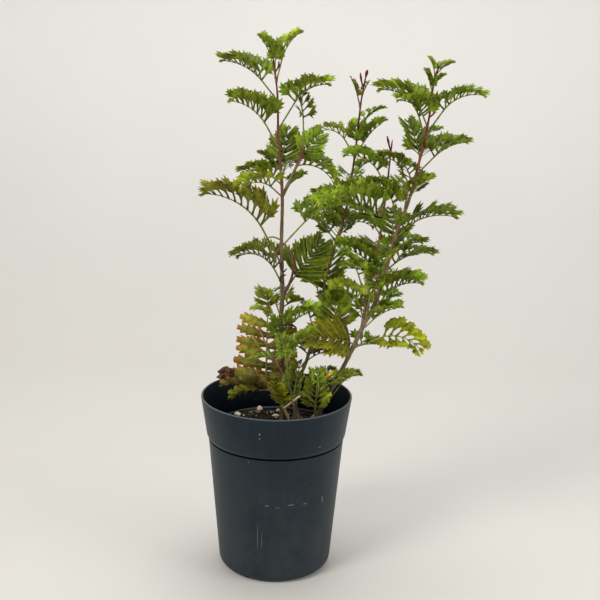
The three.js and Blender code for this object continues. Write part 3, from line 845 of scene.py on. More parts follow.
# Stem colours by height share: 0 at the foot and 1 at the tip.
stemTones = {
    "tall": [
        (0, (0.075, 0.06, 0.033)), (0.44, (0.1, 0.085, 0.04)), (0.56, (0.16, 0.105, 0.055)),
        (0.7, (0.2, 0.095, 0.058)), (0.84, (0.15, 0.026, 0.018)), (1, (0.1, 0.008, 0.01)),
    ],
    "tan": [
        (0, (0.15, 0.112, 0.062)), (0.45, (0.22, 0.155, 0.082)), (0.65, (0.2, 0.112, 0.052)),
        (0.82, (0.15, 0.034, 0.016)), (1, (0.12, 0.008, 0.01)),
    ],
    "red": [(0, (0.24, 0.14, 0.1)), (0.4, (0.26, 0.1, 0.075)), (1, (0.2, 0.012, 0.022))],
    "green": [(0, (0.14, 0.12, 0.05)), (0.5, (0.2, 0.2, 0.05)), (1, (0.3, 0.27, 0.09))],
    "pink": [(0, (0.17, 0.125, 0.07)), (0.55, (0.26, 0.15, 0.09)), (1, (0.3, 0.07, 0.055))],
    "dark": [(0, (0.06, 0.05, 0.02)), (0.5, (0.07, 0.09, 0.018)), (1, (0.12, 0.15, 0.03))],
    "twig": [(0, (0.09, 0.06, 0.04)), (0.5, (0.12, 0.03, 0.03)), (1, (0.14, 0.09, 0.05))],
}

# A stem is (tone, radii at its foot and tip, nodes, leaves), and its nodes are (height, x, y) in
# millimetres. A leaf is (height on the stem, turn, stalk, blade, rise, bend, fold, tone), with the
# angles in degrees, then its shape where that isn't comb, and how far it is rolled about its rib.
stemRow = namedtuple("stemRow", "tone radii nodes leaves")
leafParts = "height turn stalk blade rise bend fold tone shape roll"
leafRow = namedtuple("leafRow", leafParts, defaults=("comb", 0))
shoots = {
    "shoot_left": [
        ("tall", (2.05, 0.5), [
            (97, 4, -4), (137, 4, -6), (170, 2, -8), (198, 3, -9), (234, 2, -10), (267, 2, -10),
            (302, -1, -9), (330, -2, -8), (354, -5, -8),
        ], [
            (341, 200, 11.2, 18, 76, 30, 48, "fresh5"),
            (339, 14, 14, 21.8, 76, 40, 36, "green6"),
            (346, 70, 6.6, 11, 84, 14, 20, "fresh6", "open"),
            (327, 160, 15.5, 31.2, 48, 47, 41, "fresh4"),
            (308.6, 330, 21.1, 27.9, 56, 55, 47, "fresh4"),
            (296.8, 212, 18.2, 30.3, 57, 50, 67, "fresh4"),
            (283.2, 71, 4.5, 24, 68, 13, -1, "fresh3", "fan"),
            (282, 140, 5.9, 15, 48, 50, 40, "fresh3"),
            (275.3, 82, 9.3, 33.8, 32, 63, 42, "fresh4"),
            (273, 160, 6.5, 23.3, 36, 60, 48, "fresh3"),
            (265, 212, 10, 25, 40, 77, 49, "green5"),
            (231.7, 16, 21.3, 35, 46, 54, 33, "fresh6"),
            (219, 188, 28, 45.7, 62, 59, 45, "olive3", "open"),
            (206, 155, 10.5, 30.9, 58, 88, 50, "fresh2"),
            (189.3, 33, 3.2, 14.2, 25, 30, 40, "fresh3"),
            (181.6, 105, 12, 29.8, 28, 46, 36, "fresh3"),
            (177.3, 206, 12.8, 13.3, 44, 50, 23, "green5"),
            (172, 125, 19.7, 16.2, 50, 24, 12, "green5", "fan"),
            (166, 335, 4, 32.5, 65, 48, 39, "fresh6"),
        ]),
        ("tan", (1.2, 0.8), [
            (265, 2, -10), (276, 7, -11), (297, 16, -12),
        ], [
            (296.3, 114, 19.3, 21.4, 84, 70, 69, "fresh3"),
            (290, 28, 3.5, 19.5, 52, 12, 10, "fresh5", "fan", 58),
            (286, -4, 2.5, 26.5, 10, 76, 40, "fresh4"),
            (272.4, 20, 2.2, 13.2, 38, 9, 35, "fresh3"),
        ]),
        ("twig", (1.1, 0.6), [
            (196, 3, -9), (210, 9, -10), (222, 10, -11), (230, 7, -11),
        ], [
            (204, 26, 8.3, 29.7, 54, 10, 1, "fresh2", "fan", 58),
        ]),
    ],
    "shoot_middle": [
        ("tan", (1.3, 0.5), [
            (97, 12, 8), (129, 15, 11), (148, 21, 12), (178, 28, 14), (216, 35, 16), (246, 44, 17),
            (289, 50, 17), (324, 53, 17), (344, 56, 17),
        ], [
            (330.3, 20, 2.2, 8, 68, 15, 35, "rusty", "spidery"),
            (322, 172, 6.3, 14.1, 75, 12, 35, "olive3", "spidery"),
            (305.3, 20, 8, 18.7, 58, 53, 27, "fresh5", "spidery"),
            (296.3, 75, 3.2, 15.4, 75, 18, 16, "fresh6", "fan"),
            (288.9, 158, 12.4, 25.1, 57, 96, 45, "pale", "spidery"),
            (288, 352, 10.8, 22, 62, 28, 42, "fresh6"),
            (272.3, 20, 10.2, 13.5, 54, 60, 40, "fresh6"),
            (264, 88, 9.3, 23, 36, 54, 42, "fresh5"),
            (252, 155, 2.6, 23.2, 38, 30, 44, "fresh4"),
            (239.4, 158, 3, 19.8, 56, 40, 50, "green6"),
            (237.4, 25, 2.3, 24.8, 44, 85, 47, "fresh6"),
            (229.6, 145, 8, 22.4, 48, 48, 54, "fresh6"),
            (220.3, 75, 13.5, 31.3, 38, 49, 48, "fresh3"),
            (190, 62, 6, 30.3, 68, 27, 25, "fresh5", "fan"),
            (186.8, 102, 14.3, 28.7, 32, 50, 42, "fresh5"),
            (178.5, 35, 8, 23.5, 36, 53, 41, "fresh4"),
            (166.1, 152, 9.5, 14, 72, 30, 39, "fresh2"),
            (150.6, 170, 2.2, 15.8, 40, 30, 30, "fresh2"),
            (146.1, 0, 4.7, 20.5, 35, 40, 43, "fresh2"),
        ]),
        ("tan", (1, 0.8), [
            (150, 21, 12), (160, 29, 8), (170, 40, 4),
        ], [
            (170, 95, 2, 27.5, 70, 18, 8, "green6", "fan"),
        ]),
    ],
    "shoot_right": [
        ("tan", (1.8, 0.55), [
            (97, 24, -2), (120, 33, -3), (148, 46, -5), (174, 57, -6), (200, 68, -7), (238, 77, -8),
            (263, 85, -9), (290, 91, -9), (318, 96, -9), (341, 98, -9), (351, 101, -9),
        ], [
            (345, 15, 4, 11.2, 48, 40, 35, "green5"),
            (344.7, 165, 4, 8.9, 77, 30, 40, "fresh6"),
            (338.4, 330, 2, 9.2, 50, 10, 33, "green6"),
            (333.6, 185, 4, 12.4, 76, 15, 35, "fresh5"),
            (312.4, 215, 6, 25.5, 60, 61, 45, "fresh4"),
            (307, 332, 19, 29.8, 55, 62, 36, "fresh4", "open"),
            (305, 152, 13, 35, 71, 78, 44, "fresh4"),
            (307.3, 22, 2.2, 10.3, 26, 17, 27, "fresh5"),
            (291.9, 120, 4, 24, 66, 27, 16, "fresh3", "fan"),
            (287, 72, 7.5, 28.7, 36, 55, 30, "fresh4"),
            (280.6, 26, 16.5, 27, 41, 40, 42, "fresh3"),
            (273.9, 112, 3.9, 18.3, 50, 24, 30, "fresh2"),
            (274.6, 350, 2.5, 12.5, 32, 20, 40, "fresh5"),
            (270.7, 190, 15, 19.8, 62, 66, 46, "fresh2"),
            (262.7, 325, 6.2, 18.3, 66, 50, 36, "green5"),
            (254, 78, 13.7, 32.5, 36, 56, 42, "fresh3"),
            (243, 170, 17.7, 23.8, 80, 83, 49, "fresh2"),
            (237.4, 97, 2.5, 25, 54, 30, 10, "fresh3", "fan"),
            (237.3, 335, 9.3, 36.9, 48, 55, 30, "fresh3", "open"),
            (222.8, 38, 4.3, 27.2, 40, 50, 44, "fresh5"),
            (220.3, 95, 10.2, 35.5, 21, 54, 36, "fresh3"),
            (227.3, 258, 5, 20.1, 26, 60, 40, "green4"),
            (216, 25, 6.7, 30, 35, 48, 36, "fresh4"),
            (212, 172, 8.2, 29.3, 45, 32, 50, "fresh4"),
            (207, 160, 2.7, 25.1, 42, 53, 51, "fresh6"),
            (198, 68, 13, 31.3, 24, 50, 36, "fresh5"),
            (204.7, 257, 6.5, 24.8, 32, 64, 46, "fresh3"),
            (185.6, 325, 18.2, 30.2, 52, 52, 48, "fresh4"),
            (182.3, 25, 8, 21, 44, 34, 43, "fresh6"),
            (173.3, 350, 11, 22, 47, 36, 42, "fresh6"),
            (169.8, 62, 12, 29.5, 35, 44, 39, "fresh3"),
            (161.4, 30, 2.2, 23, 10, 30, 43, "fresh5"),
            (161, 339, 21.6, 31, 27, 74, 21, "olive6", "eyed", 30),
            (164, 202, 2.4, 32.8, 22, 24, 16, "olive4", "fan", -46),
            (133.4, 120, 2.5, 14, 58, 44, 35, "fresh3"),
            (110.6, 8, 26, 17.2, 56, 56, 40, "fresh5"),
        ]),
        ("red", (1.05, 0.5), [
            (174, 57, -6), (192, 60, -2), (230, 67, 2), (265, 71, 4), (302, 74, 5),
        ], [
            (270, 190, 12, 26.4, 61, 68, 41, "fresh6"),
            (249.4, 207, 3.2, 45.8, 34, 47, 62, "fresh6"),
            (238.7, 176, 11.5, 16.8, 55, 50, 40, "fresh6"),
            (193, 210, 19.2, 24.3, 70, 30, 25, "fresh6"),
            (182, 196, 9.7, 26, 72, 83, 50, "green6"),
        ]),
        ("green", (0.9, 0.8), [
            (182, 60, -6), (198, 62, -11), (213, 67, -13),
        ], []),
    ],
    "shoot_bronze": [
        ("green", (1.1, 0.8), [
            (97, 13, -12), (118, 6, -13), (133, -8, 0),
        ], [
            (132.5, 88, 2, 47.5, 83, 10, 8, "bronze", "oblong"),
            (128.8, 185, 2.7, 31.2, 26, 38, 45, "rusty", "oak"),
            (129.1, 205, 8.3, 21.9, 7, 26, 36, "olive3", "oak"),
            (117.6, 235, 4, 24, 66, 16, 15, "olive5", "oak"),
        ]),
    ],
    "shoot_young": [
        ("pink", (1.1, 0.65), [
            (97, 19, -8), (129, 11, -11), (141, 6, -13), (156, -2, -15),
        ], [
            (156, 165, 1.2, 15.5, 14, 40, 14, "young", "feather"),
            (154, 20, 1.2, 13.2, 44, 34, 14, "young", "feather"),
        ]),
        ("pink", (0.65, 0.5), [
            (155, -2, -15), (165, -7, -17), (178, -12, -18),
        ], []),
        ("green", (0.55, 0.45), [
            (150, 1, -14), (162, -10, -18), (173, -17, -19),
        ], []),
    ],
    "shoot_centre": [
        ("dark", (0.85, 0.55), [
            (97, 15, -21), (120, 13, -24), (144, 8, -25), (157, 7, -25),
        ], [
            (154.4, 120, 3, 18, 70, 20, 26, "fresh6", "feather"),
            (156.7, 350, 7.8, 21.5, 62, 30, 51, "fresh5", "feather"),
            (128, 60, 5.2, 22, 76, 16, 34, "fresh2", "feather"),
        ]),
    ],
    "shoot_front": [
        ("dark", (0.95, 0.5), [
            (97, 29, -14), (122, 26.5, -18), (138, 29.5, -21),
        ], [
            (134.8, 110, 4, 12, 78, 20, 22, "fresh6", "feather"),
            (135.7, 12, 2, 24, 32, 20, 30, "green6"),
            (125.4, 180, 3.8, 15, 35, 50, 25, "green6", "oak"),
            (113.4, 84, 6.3, 26, 84, 14, 27, "green6", "feather"),
        ]),
    ],
}

# Small parts beside the stems, by shoot: (points in millimetres, radii, colours), with the radii
# and colours spread evenly over the length.
darkRed, wine, rustRed = (0.09, 0.008, 0.012), (0.17, 0.014, 0.022), (0.07, 0.014, 0.01)
brown, tan, black = (0.1, 0.055, 0.025), (0.3, 0.2, 0.11), (0.006, 0.005, 0.004)
cream, yellow, olive, pink = (0.6, 0.53, 0.38), (0.62, 0.36, 0.03), (0.14, 0.15, 0.03), (0.4, 0.15, 0.09)
twigs = {
    "shoot_left": [
        ([(3, -9.5, 222), (1.6, -12.5, 219), (3.4, -14.5, 215.6), (6, -13.5, 217.6)],
         (0.5, 0.9, 0.7, 0.3), (brown, black)),
        ([(4, -10, 207), (1.6, -12.5, 209), (2.4, -14.5, 212.4), (5.6, -14, 213.4)],
         (0.6, 0.9, 0.9, 0.3), (brown, black)),
        ([(2, -10, 236), (-3.6, -12, 238.4), (-8.2, -12, 237), (-9.6, -12, 234)],
         (0.6, 0.5, 0.45, 0.35), (olive, tan)),
        ([(1, -8.5, 179), (4.6, -12.5, 178.4), (8.6, -14, 179.4), (12.9, -13.5, 177.2)],
         (0.5, 0.7, 1.2, 0.3), (brown, black)),
        ([(-3.6, -8, 345), (-1.6, -8, 348.5), (-1.4, -8, 352)], (0.5, 0.5, 0.7, 0.3), (wine, darkRed)),
    ],
    "shoot_middle": [
        ([(54, 17, 335.5), (52.8, 17, 340), (52.1, 17, 344.6)], (0.65, 0.5, 0.8, 0.3), (wine, darkRed)),
        ([(55.8, 17, 342), (56.4, 17, 345), (56.6, 17, 346.6)], (0.6, 1.1, 0.9, 0.3), (wine, darkRed)),
        ([(38, 5, 168.5), (43, -1, 171), (45.3, -2, 178.4), (47.9, -2, 182.7), (51, -2, 183.6)],
         (0.8, 1.1, 1, 0.9, 0.6), (wine, brown, tan)),
    ],
    "shoot_right": [
        ([(73.3, 4.8, 294), (71.6, 5, 300), (70.5, 5, 304.4)], (0.65, 0.55, 0.8, 0.3), (wine, darkRed)),
        ([(94.2, -9.3, 299), (93.4, -11.4, 302), (93.8, -11.6, 305)], (0.6, 1.1, 1, 0.3), (wine, darkRed)),
        ([(66.9, -12.9, 211.5), (66.3, -13.2, 213.8), (65.9, -13.2, 215)],
         (0.7, 1.0, 0.8, 0.4), (pink, pink)),
        ([(69, 2.6, 250), (66, 0.5, 250.8), (60.7, 0, 252.3), (52.6, 0, 253.5)],
         (0.8, 0.7, 0.6, 0.3), (black, black)),
        ([(96, -9, 318), (98.6, -11.5, 321), (99, -12.5, 324.4)], (0.5, 0.6, 0.9, 0.3), (wine, pink)),
    ],
    "shoot_bronze": [
        ([(5.5, -14, 119.8), (5.6, -22, 122.7), (10.9, -24, 127.8), (16.2, -26, 132.9)],
         (0.5, 0.7, 0.65, 0.7), (tan, cream)),
        ([(-29.5, -4, 143), (-33, -6, 143.4), (-35, -5, 145), (-38, -6, 142.8), (-40.6, -7, 142.6)],
         (1.3, 2.3, 1.2, 2.0, 0.5), (brown, rustRed)),
        ([(-29.5, -5, 141), (-33.6, -7, 140.2), (-36, -6, 141.6), (-38.6, -7, 139.4), (-41.4, -7, 138.6)],
         (1.4, 2.3, 1.3, 1.9, 0.4), (rustRed, brown)),
        ([(-30, -5, 139), (-33.4, -7, 138), (-36.4, -6, 138.8), (-38.2, -7, 137.2)],
         (1.3, 1.9, 1.0, 0.4), (brown, rustRed)),
    ],
    "shoot_front": [
        ([(33, -22, 144.6), (35.6, -24, 147.6), (38.4, -24, 150.6)], (0.6, 1.3, 0.4), (yellow, yellow)),
    ],
}

leafForm = {
    "lobeThickness": 0.2,
    "thinning": 0.55,  # how much thinner a lobe is at its end
    "cup": 0.42,
    "sickle": 0.45,
    "crenateSickle": 0.12,
    "sickleSpread": (-0.2, 0.3),
    "curl": (0.02, 0.3),
    "curlsDown": 0.75,  # share of the lobes
    "foldSpread": 5,
    "widthSpread": 0.2,  # of single rows and margins
    "leanSpread": 0.02,
    "ribGap": 0.35,
    "ribSides": 8,
    "ribRadius": 0.5,
    "footSwell": 0.9,
    "footReach": 1.1,
    "shade": (0.5, 1.36),
    "warmth": (0.92, 1.1),
    "stalkFoot": (0.2, 0.11, 0.06),
    "ribOlive": (0.17, 0.13, 0.045),
    "fewestPairs": 3,
    "longLobe": 7.5,  # longer ones have three teeth a side
    "pastLast": 0.7,  # how far the rib runs past its last pair, in steps
    "stagger": 0.06,  # between the two hands, in steps
    "placeSpread": 0.06,
    "lengthSpread": (0.93, 1.06),
    "broadSpread": (0.92, 1.1),
    "angleSpread": 3,
    "louverSpread": 7,
}

# The lobes at a leaf's tip: (place along the rib, hand, length as a share of the blade, angle to
# the rib, turn about its own length).
tipLobes = [(0.985, 1, 0.13, 2, 0), (0.95, 1, 0.12, 30, 8), (0.95, -1, 0.12, 30, 8)]
tipWide = 0.36

# How a leaf is cut: the distance between its lobes along the rib, the most pairs of them, the
# longest lobe as a share of the blade and how much of that is lost towards the tip, the angle
# between lobe and rib and its loss towards the tip, the lobe's half width as a share of the
# distance between lobes, and how far each lobe is turned about its own length.
leafCut = namedtuple("leafCut", "pitch pairs share taper spread loss wide louver")
leafShapes = {
    "comb": (4.1, 9, 0.58, 0.5, 76, 30, 0.94, 14),
    "open": (4.9, 9, 0.56, 0.5, 76, 30, 0.74, 10),
    "fan": (5.4, 5, 0.66, 0.42, 66, 40, 0.64, 9),
    "oak": (4.9, 6, 0.46, 0.4, 64, 28, 0.62, 8),
    "oblong": (7.2, 6, 0.48, 0.16, 86, 10, 0.6, 6),
    "spidery": (4.6, 7, 0.5, 0.5, 70, 26, 0.52, 28),
    "feather": (3.6, 8, 0.5, 0.42, 62, 22, 0.84, 16),
    "eyed": (5.2, 7, 0.5, 0.4, 74, 32, 0.98, 8),
}

# Rows along a lobe: (share of its length, half width, how far the margin reaches forward).
# Long lobes have three teeth a side and short ones two. Crenate ones are scalloped to their foot,
# feathery ones cut nearly to their middle vein, and eyed ones have a thin neck and blunt teeth.
lobeRows = {
    "long": [(-0.04, 0.19, 0), (0.22, 0.16, 0), (0.42, 0.26, 0), (0.5, 1.04, 0.13), (0.58, 0.76, 0.03),
             (0.65, 1.14, 0.21), (0.74, 0.62, 0.04), (0.79, 0.84, 0.21), (0.88, 0.3, 0.03), (1.08, 0.02, 0)],
    "broad": [(-0.04, 0.5, 0), (0.18, 0.6, 0), (0.36, 0.84, 0.02), (0.47, 1.04, 0.12), (0.55, 0.8, 0.03),
              (0.64, 1.02, 0.2), (0.73, 0.64, 0.04), (0.79, 0.76, 0.2), (0.89, 0.28, 0.03), (1.08, 0.02, 0)],
    "short": [(-0.06, 0.28, 0), (0.2, 0.32, 0), (0.42, 0.72, 0), (0.54, 1.0, 0.26), (0.66, 0.52, 0.07),
              (0.72, 0.68, 0.26), (0.84, 0.26, 0.04), (1.1, 0.02, 0)],
    "crenate": [(-0.03, 0.5, 0), (0.12, 0.6, 0), (0.23, 1.04, 0.05), (0.31, 0.72, 0), (0.42, 1.14, 0.07),
                (0.5, 0.76, 0), (0.6, 1.1, 0.08), (0.68, 0.68, 0), (0.78, 0.92, 0.1), (0.86, 0.48, 0.01),
                (0.93, 0.5, 0.07), (1.0, 0.05, 0)],
    "feather": [(-0.04, 0.2, 0), (0.16, 0.2, 0), (0.28, 0.8, 0.2), (0.36, 0.42, 0), (0.48, 1.04, 0.2),
                (0.57, 0.44, 0.01), (0.66, 0.86, 0.2), (0.75, 0.34, 0.01), (0.83, 0.54, 0.17),
                (1.05, 0.02, 0)],
    "eyed": [(-0.04, 0.22, 0), (0.22, 0.13, 0), (0.43, 0.3, 0), (0.53, 0.96, 0.1), (0.63, 0.76, 0.04),
             (0.7, 1.0, 0.18), (0.81, 0.56, 0.06), (0.87, 0.62, 0.14), (0.95, 0.3, 0.04), (1.06, 0.04, 0)],
}
shapeRows = {"oblong": "crenate", "oak": "crenate", "feather": "feather", "eyed": "eyed", "fan": "broad"}
lobeAcross = np.array([-1, -0.5, 0, 0.5, 1, 0.5, 0, -0.5])
lobeUp = np.array([0, 0.75, 1, 0.75, 0, -0.75, -1, -0.75])


# Where the rib is, along from -1 at the stem over 0 at the blade's foot to 1 at its end. The
# stalk is straight, and over the blade the slope falls evenly, so the rib is an arc there.
def ribFrame(root, leaf, along):
    turn, first, bend = (math.radians(angle) for angle in (leaf.turn, leaf.rise, leaf.bend))
    slope = first - bend * np.maximum(0, along)
    arc = np.where(along > 0, leaf.blade / bend, 0)
    reach = leaf.stalk * np.minimum(1, 1 + along)
    out = reach * math.cos(first) + arc * (math.sin(first) - np.sin(slope))
    rose = reach * math.sin(first) + arc * (np.cos(slope) - math.cos(first))
    heading = np.array([math.cos(turn), math.sin(turn), 0])
    side = np.array([-heading[1], heading[0], 0])
    up = np.array([0, 0, 1.0])
    at = root + out[:, None] * heading + rose[:, None] * up
    ahead = np.cos(slope)[:, None] * heading + np.sin(slope)[:, None] * up
    above = -np.sin(slope)[:, None] * heading + np.cos(slope)[:, None] * up
    return at, ahead, above, np.broadcast_to(side, at.shape)


# Lobes of one leaf, all in one array. A lobe's middle line is a parabola that curves forward and
# over, its half width swells from a neck and is notched between teeth, and its section is a thin
# lens that is cupped by the square of the distance from the middle.
def lobePatch(root, leaf, random, rowKind, along, hand, length, halfWidth, spread, louver):
    form = leafForm
    at, ahead, above, side = ribFrame(root, leaf, along)
    count = len(along)
    column = lambda values: values[:, None]
    block = lambda values: values[:, None, None]
    foldSpread = random.uniform(-form["foldSpread"], form["foldSpread"], count)
    fold = np.radians(leaf.fold + hand * leaf.roll + foldSpread)
    outward = column(hand * np.cos(fold)) * side + column(np.sin(fold)) * above
    normal = column(np.cos(fold)) * above - column(hand * np.sin(fold)) * side
    out = column(np.cos(spread)) * ahead + column(np.sin(spread)) * outward
    across = np.cross(normal, out)
    tilt = louver * -hand
    across, normal = (
        column(np.cos(tilt)) * across - column(np.sin(tilt)) * normal,
        column(np.cos(tilt)) * normal + column(np.sin(tilt)) * across,
    )
    rows = np.array(lobeRows[rowKind])
    s, wide, lean = rows[:, 0], rows[:, 1], rows[:, 2]
    jitter = 1 + random.uniform(-form["widthSpread"], form["widthSpread"], (count, len(rows), 2))
    jitter[:, :2] = 1
    v = lobeAcross
    width = wide[None, :, None] * np.where(v < 0, jitter[..., :1], jitter[..., 1:]) * v
    leanSpread = random.uniform(-form["leanSpread"], form["leanSpread"], (count, len(rows), 1))
    forward = s[None, :, None] + (lean[None, :, None] + leanSpread) * v**2
    thick = form["lobeThickness"] * (1 - form["thinning"] * s)[None, :, None] * lobeUp
    curlSize = random.uniform(*form["curl"], count)
    curl = curlSize * np.where(random.uniform(0, 1, count) < form["curlsDown"], -1, 1)
    bow = form["sickle"] if rowKind != "crenate" else form["crenateSickle"]
    sickle = bow * (0.7 + random.uniform(*form["sickleSpread"], count)) * -hand
    long, broad = block(length), block(halfWidth)
    alongPart = forward * long
    acrossPart = width * broad + 0.5 * block(sickle) * forward**2 * long
    upPart = thick - form["cup"] * width**2 * broad + 0.5 * block(curl) * forward**2 * long
    points = (
        block(at)
        + block(side * column(hand * form["ribGap"]))
        + alongPart[..., None] * block(out)
        + acrossPart[..., None] * block(across)
        + upPart[..., None] * block(normal)
    )
    sides = len(v)
    each = len(rows) * sides
    grid = ringFaces(len(rows), sides)[:, ::-1]
    caps = np.array([np.arange(sides), each - 1 - np.arange(sides)])
    faces = copiedFaces((grid, caps), count, each)

    top, under, rust = leafTones[leaf.tone]
    # painted light and shade: lobes on the outer part of a leaf are lighter, and those on one hand lighter
    # than on the other
    paintedLightTowardsTip = 0.9 + 0.2 * (column(along) > 0.6)
    paintedLightOnOneHand = 1 + 0.08 * column(hand)
    shade = random.uniform(*form["shade"], (count, 1)) * paintedLightTowardsTip * paintedLightOnOneHand
    warm = random.uniform(*form["warmth"], (count, 1))
    warmth = np.concatenate([warm, np.ones((count, 1)), warm], 1)
    perLobe = lambda values: np.repeat(values, each, 0)
    perRow = lambda values: np.tile(np.repeat(values, sides), count)
    perSide = lambda values: np.tile(values, len(rows) * count)
    values = {
        "topColor": perLobe(withAlpha(np.array(top) * shade * warmth)),
        "underColor": perLobe(withAlpha(np.array(under) * shade * warmth)),
        "along": perRow(s),
        "acrossLobe": perSide(v),
        "under": perSide(0.5 - 0.5 * np.sign(lobeUp)),  # 0 on top, 1 underneath
        "rim": perSide((np.abs(v) == 1).astype(float)),
        "rust": perLobe(rust * random.uniform(0.5, 1.0, count)),
    }
    return points.reshape(-1, 3) * mm, faces, 1, values


# A stalk and the rib that it becomes, as one flattened profile, thick at its foot and tapered
# over the blade. It is pinkish at its foot and turns olive over most of the stalk.
def ribPatch(root, leaf):
    form = leafForm
    along = np.concatenate([np.linspace(-1, 0, 7)[:-1], np.linspace(0, 1, 15)])
    at, _, above, side = ribFrame(root, leaf, along)
    size = form["ribRadius"] * (0.75 + 0.012 * leaf.blade)
    fromStem = (along + 1) * max(leaf.stalk, 1)
    foot = 1 + form["footSwell"] * np.exp(-((fromStem / form["footReach"]) ** 2))
    wing = np.where(along > 0, 1.25 - 0.75 * along, 1) * foot * size
    rib = np.where(along > 0, 0.95 - 0.5 * along, 1) * foot * size
    points, faces = profileAlong(at - above * 0.1, side, above, wing, rib, form["ribSides"])
    _, under, _ = leafTones[leaf.tone]
    olive = 0.55 * np.array(under) + 0.45 * np.array(form["ribOlive"])
    share = np.clip((along + 1) / 0.8, 0, 1)[:, None]
    color = withAlpha(np.array(form["stalkFoot"]) * (1 - share) + olive * share)
    values = {"stemColor": spreadOnRings(color, form["ribSides"]), "age": np.zeros(len(points))}
    return points * mm, faces, 0, values


# A leaf: its rib, a row of lobes on either hand that shorten towards the tip, and three small
# lobes as its tip.
def leafPatches(root, leaf, random):
    form, cut = leafForm, leafCut(*leafShapes[leaf.shape])
    pairs = int(np.clip(round(leaf.blade / cut.pitch), form["fewestPairs"], cut.pairs))
    around = lambda spread: random.uniform(-spread, spread, pairs)
    index = np.arange(pairs)
    share = index / pairs
    steps = pairs + form["pastLast"]
    pitch = leaf.blade / steps
    patches = [ribPatch(root, leaf)]
    for hand in (1, -1):
        middle = (index + 0.5 + form["stagger"] * hand + around(form["placeSpread"])) / steps
        longest = cut.share * leaf.blade * (1 - cut.taper * share)
        length = longest * random.uniform(*form["lengthSpread"], pairs)
        broadest = pitch * cut.wide * (1.12 - 0.3 * share)
        halfWidth = broadest * random.uniform(*form["broadSpread"], pairs)
        angle = np.radians(cut.spread - cut.loss * share + around(form["angleSpread"]))
        turned = np.radians(cut.louver + around(form["louverSpread"]))
        row = (middle, np.full(pairs, float(hand)), length, halfWidth, angle, turned)
        isLong = length > form["longLobe"]
        for rowKind, chosen in (("long", isLong), ("short", ~isLong)):
            if chosen.any():
                kind = shapeRows.get(leaf.shape, rowKind)
                patches.append(lobePatch(root, leaf, random, kind, *(values[chosen] for values in row)))
    along, hands, share, angle, turned = np.array(tipLobes).T
    length, angle, turned = share * leaf.blade, np.radians(angle), np.radians(turned)
    tip = lobePatch(root, leaf, random, "short", along, hands, length, length * tipWide, angle, turned)
    return [*patches, tip]


def colorAlong(share, places, colors):  # colours at places along 0 to 1, blended between them
    return np.stack([np.interp(share, places, column) for column in zip(*colors)], 1)


# A round tube along a path, with a radius, a colour and an age at each point of it.
def tubePatch(path, radius, color, age, sides):
    ahead = unit(np.gradient(path, axis=0))
    across = unit(np.cross(np.broadcast_to([0, 1.0, 0], ahead.shape), ahead))
    points, faces = profileAlong(path, across, np.cross(ahead, across), radius, radius, sides)
    values = {"stemColor": spreadOnRings(withAlpha(color), sides), "age": spreadOnRings(age, sides)}
    return points * mm, faces, 0, values


stemForm = {
    "steps": 14,  # in each span between two nodes
    "sides": 12,
    "footDepth": 6.0,  # under the top of the mix
    "swell": 0.14,
    "swellReach": 1.6,
    "wander": (0.05, 0.04),
    "tip": 0.45,
    "blush": 0.4,
    "blushFrom": 0.35,
    "blushColor": (0.3, 0.1, 0.06),
    "woody": ("tall", "tan"),
    "seed": 100,
}
twigForm = {"steps": 6, "sides": 8}


# A stem: a smooth curve through its nodes, as a round tube that tapers, swells a little and
# blushes where each leaf leaves it, and is old wood at its foot.
def stemPatch(stem, isMain, random):
    form = stemForm
    footRadius, tipRadius = stem.radii
    nodes = np.array([(x, y, z) for z, x, y in stem.nodes], float)
    foot = np.array([[*nodes[0, :2], mix["top"] - form["footDepth"]]]) if isMain else nodes[:0]
    path = smoothCurve(np.concatenate([foot, nodes]), form["steps"])
    height, base, top = path[:, 2], nodes[0, 2], nodes[-1, 2]
    share = np.clip((height - base) / (top - base), 0, 1)
    joints = np.array([leaf.height for leaf in stem.leaves])
    swell = np.exp(-(((height[:, None] - joints) / form["swellReach"]) ** 2)).sum(1).clip(0, 1)
    quick, slow = form["wander"]
    wander = 1 + quick * np.sin(height * 0.9 + random.uniform(0, 6)) + slow * np.sin(height * 0.37)
    radius = (footRadius + (tipRadius - footRadius) * share) * (1 + form["swell"] * swell) * wander
    radius[-1] *= form["tip"]
    blush = (form["blush"] * swell * (share > form["blushFrom"]))[:, None]
    plain = colorAlong(share, *zip(*stemTones[stem.tone]))
    color = plain * (1 - blush) + np.array(form["blushColor"]) * blush
    age = np.clip(1.15 - 1.7 * share, 0, 1) * (stem.tone in form["woody"])
    return tubePatch(path, radius, color, age, form["sides"]), path


# A twig: a smooth curve through its points, as a round tube.
def twigPatch(points, radii, colors):
    path = smoothCurve(points, twigForm["steps"])
    share = np.linspace(0, 1, len(path))
    radius = np.interp(share, np.linspace(0, 1, len(radii)), radii)
    color = colorAlong(share, np.linspace(0, 1, len(colors)), colors)
    return tubePatch(path, radius, color, np.zeros(len(path)), twigForm["sides"])


def onPath(path, height):  # where a stem's path is at a height
    return np.array([np.interp(height, path[:, 2], path[:, i]) for i in range(3)])


def makeShoots():
    for number, (name, stems) in enumerate(shoots.items()):
        random = np.random.default_rng(stemForm["seed"] + number)
        patches = []
        for i, (tone, radii, nodes, leaves) in enumerate(stems):
            stem = stemRow(tone, radii, nodes, [leafRow(*leaf) for leaf in leaves])
            patch, path = stemPatch(stem, i == 0, random)
            patches.append(patch)
            for leaf in stem.leaves:
                patches += leafPatches(onPath(path, leaf.height), leaf, random)
        patches += [twigPatch(*twig) for twig in twigs.get(name, [])]
        piece = makePiece("leafy_" + name, patches, [stemMaterial, leafMaterial], "rim")
        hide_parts(name)
        print(name, len(piece.data.polygons), "faces")


makeShoots()
print("shoots made")


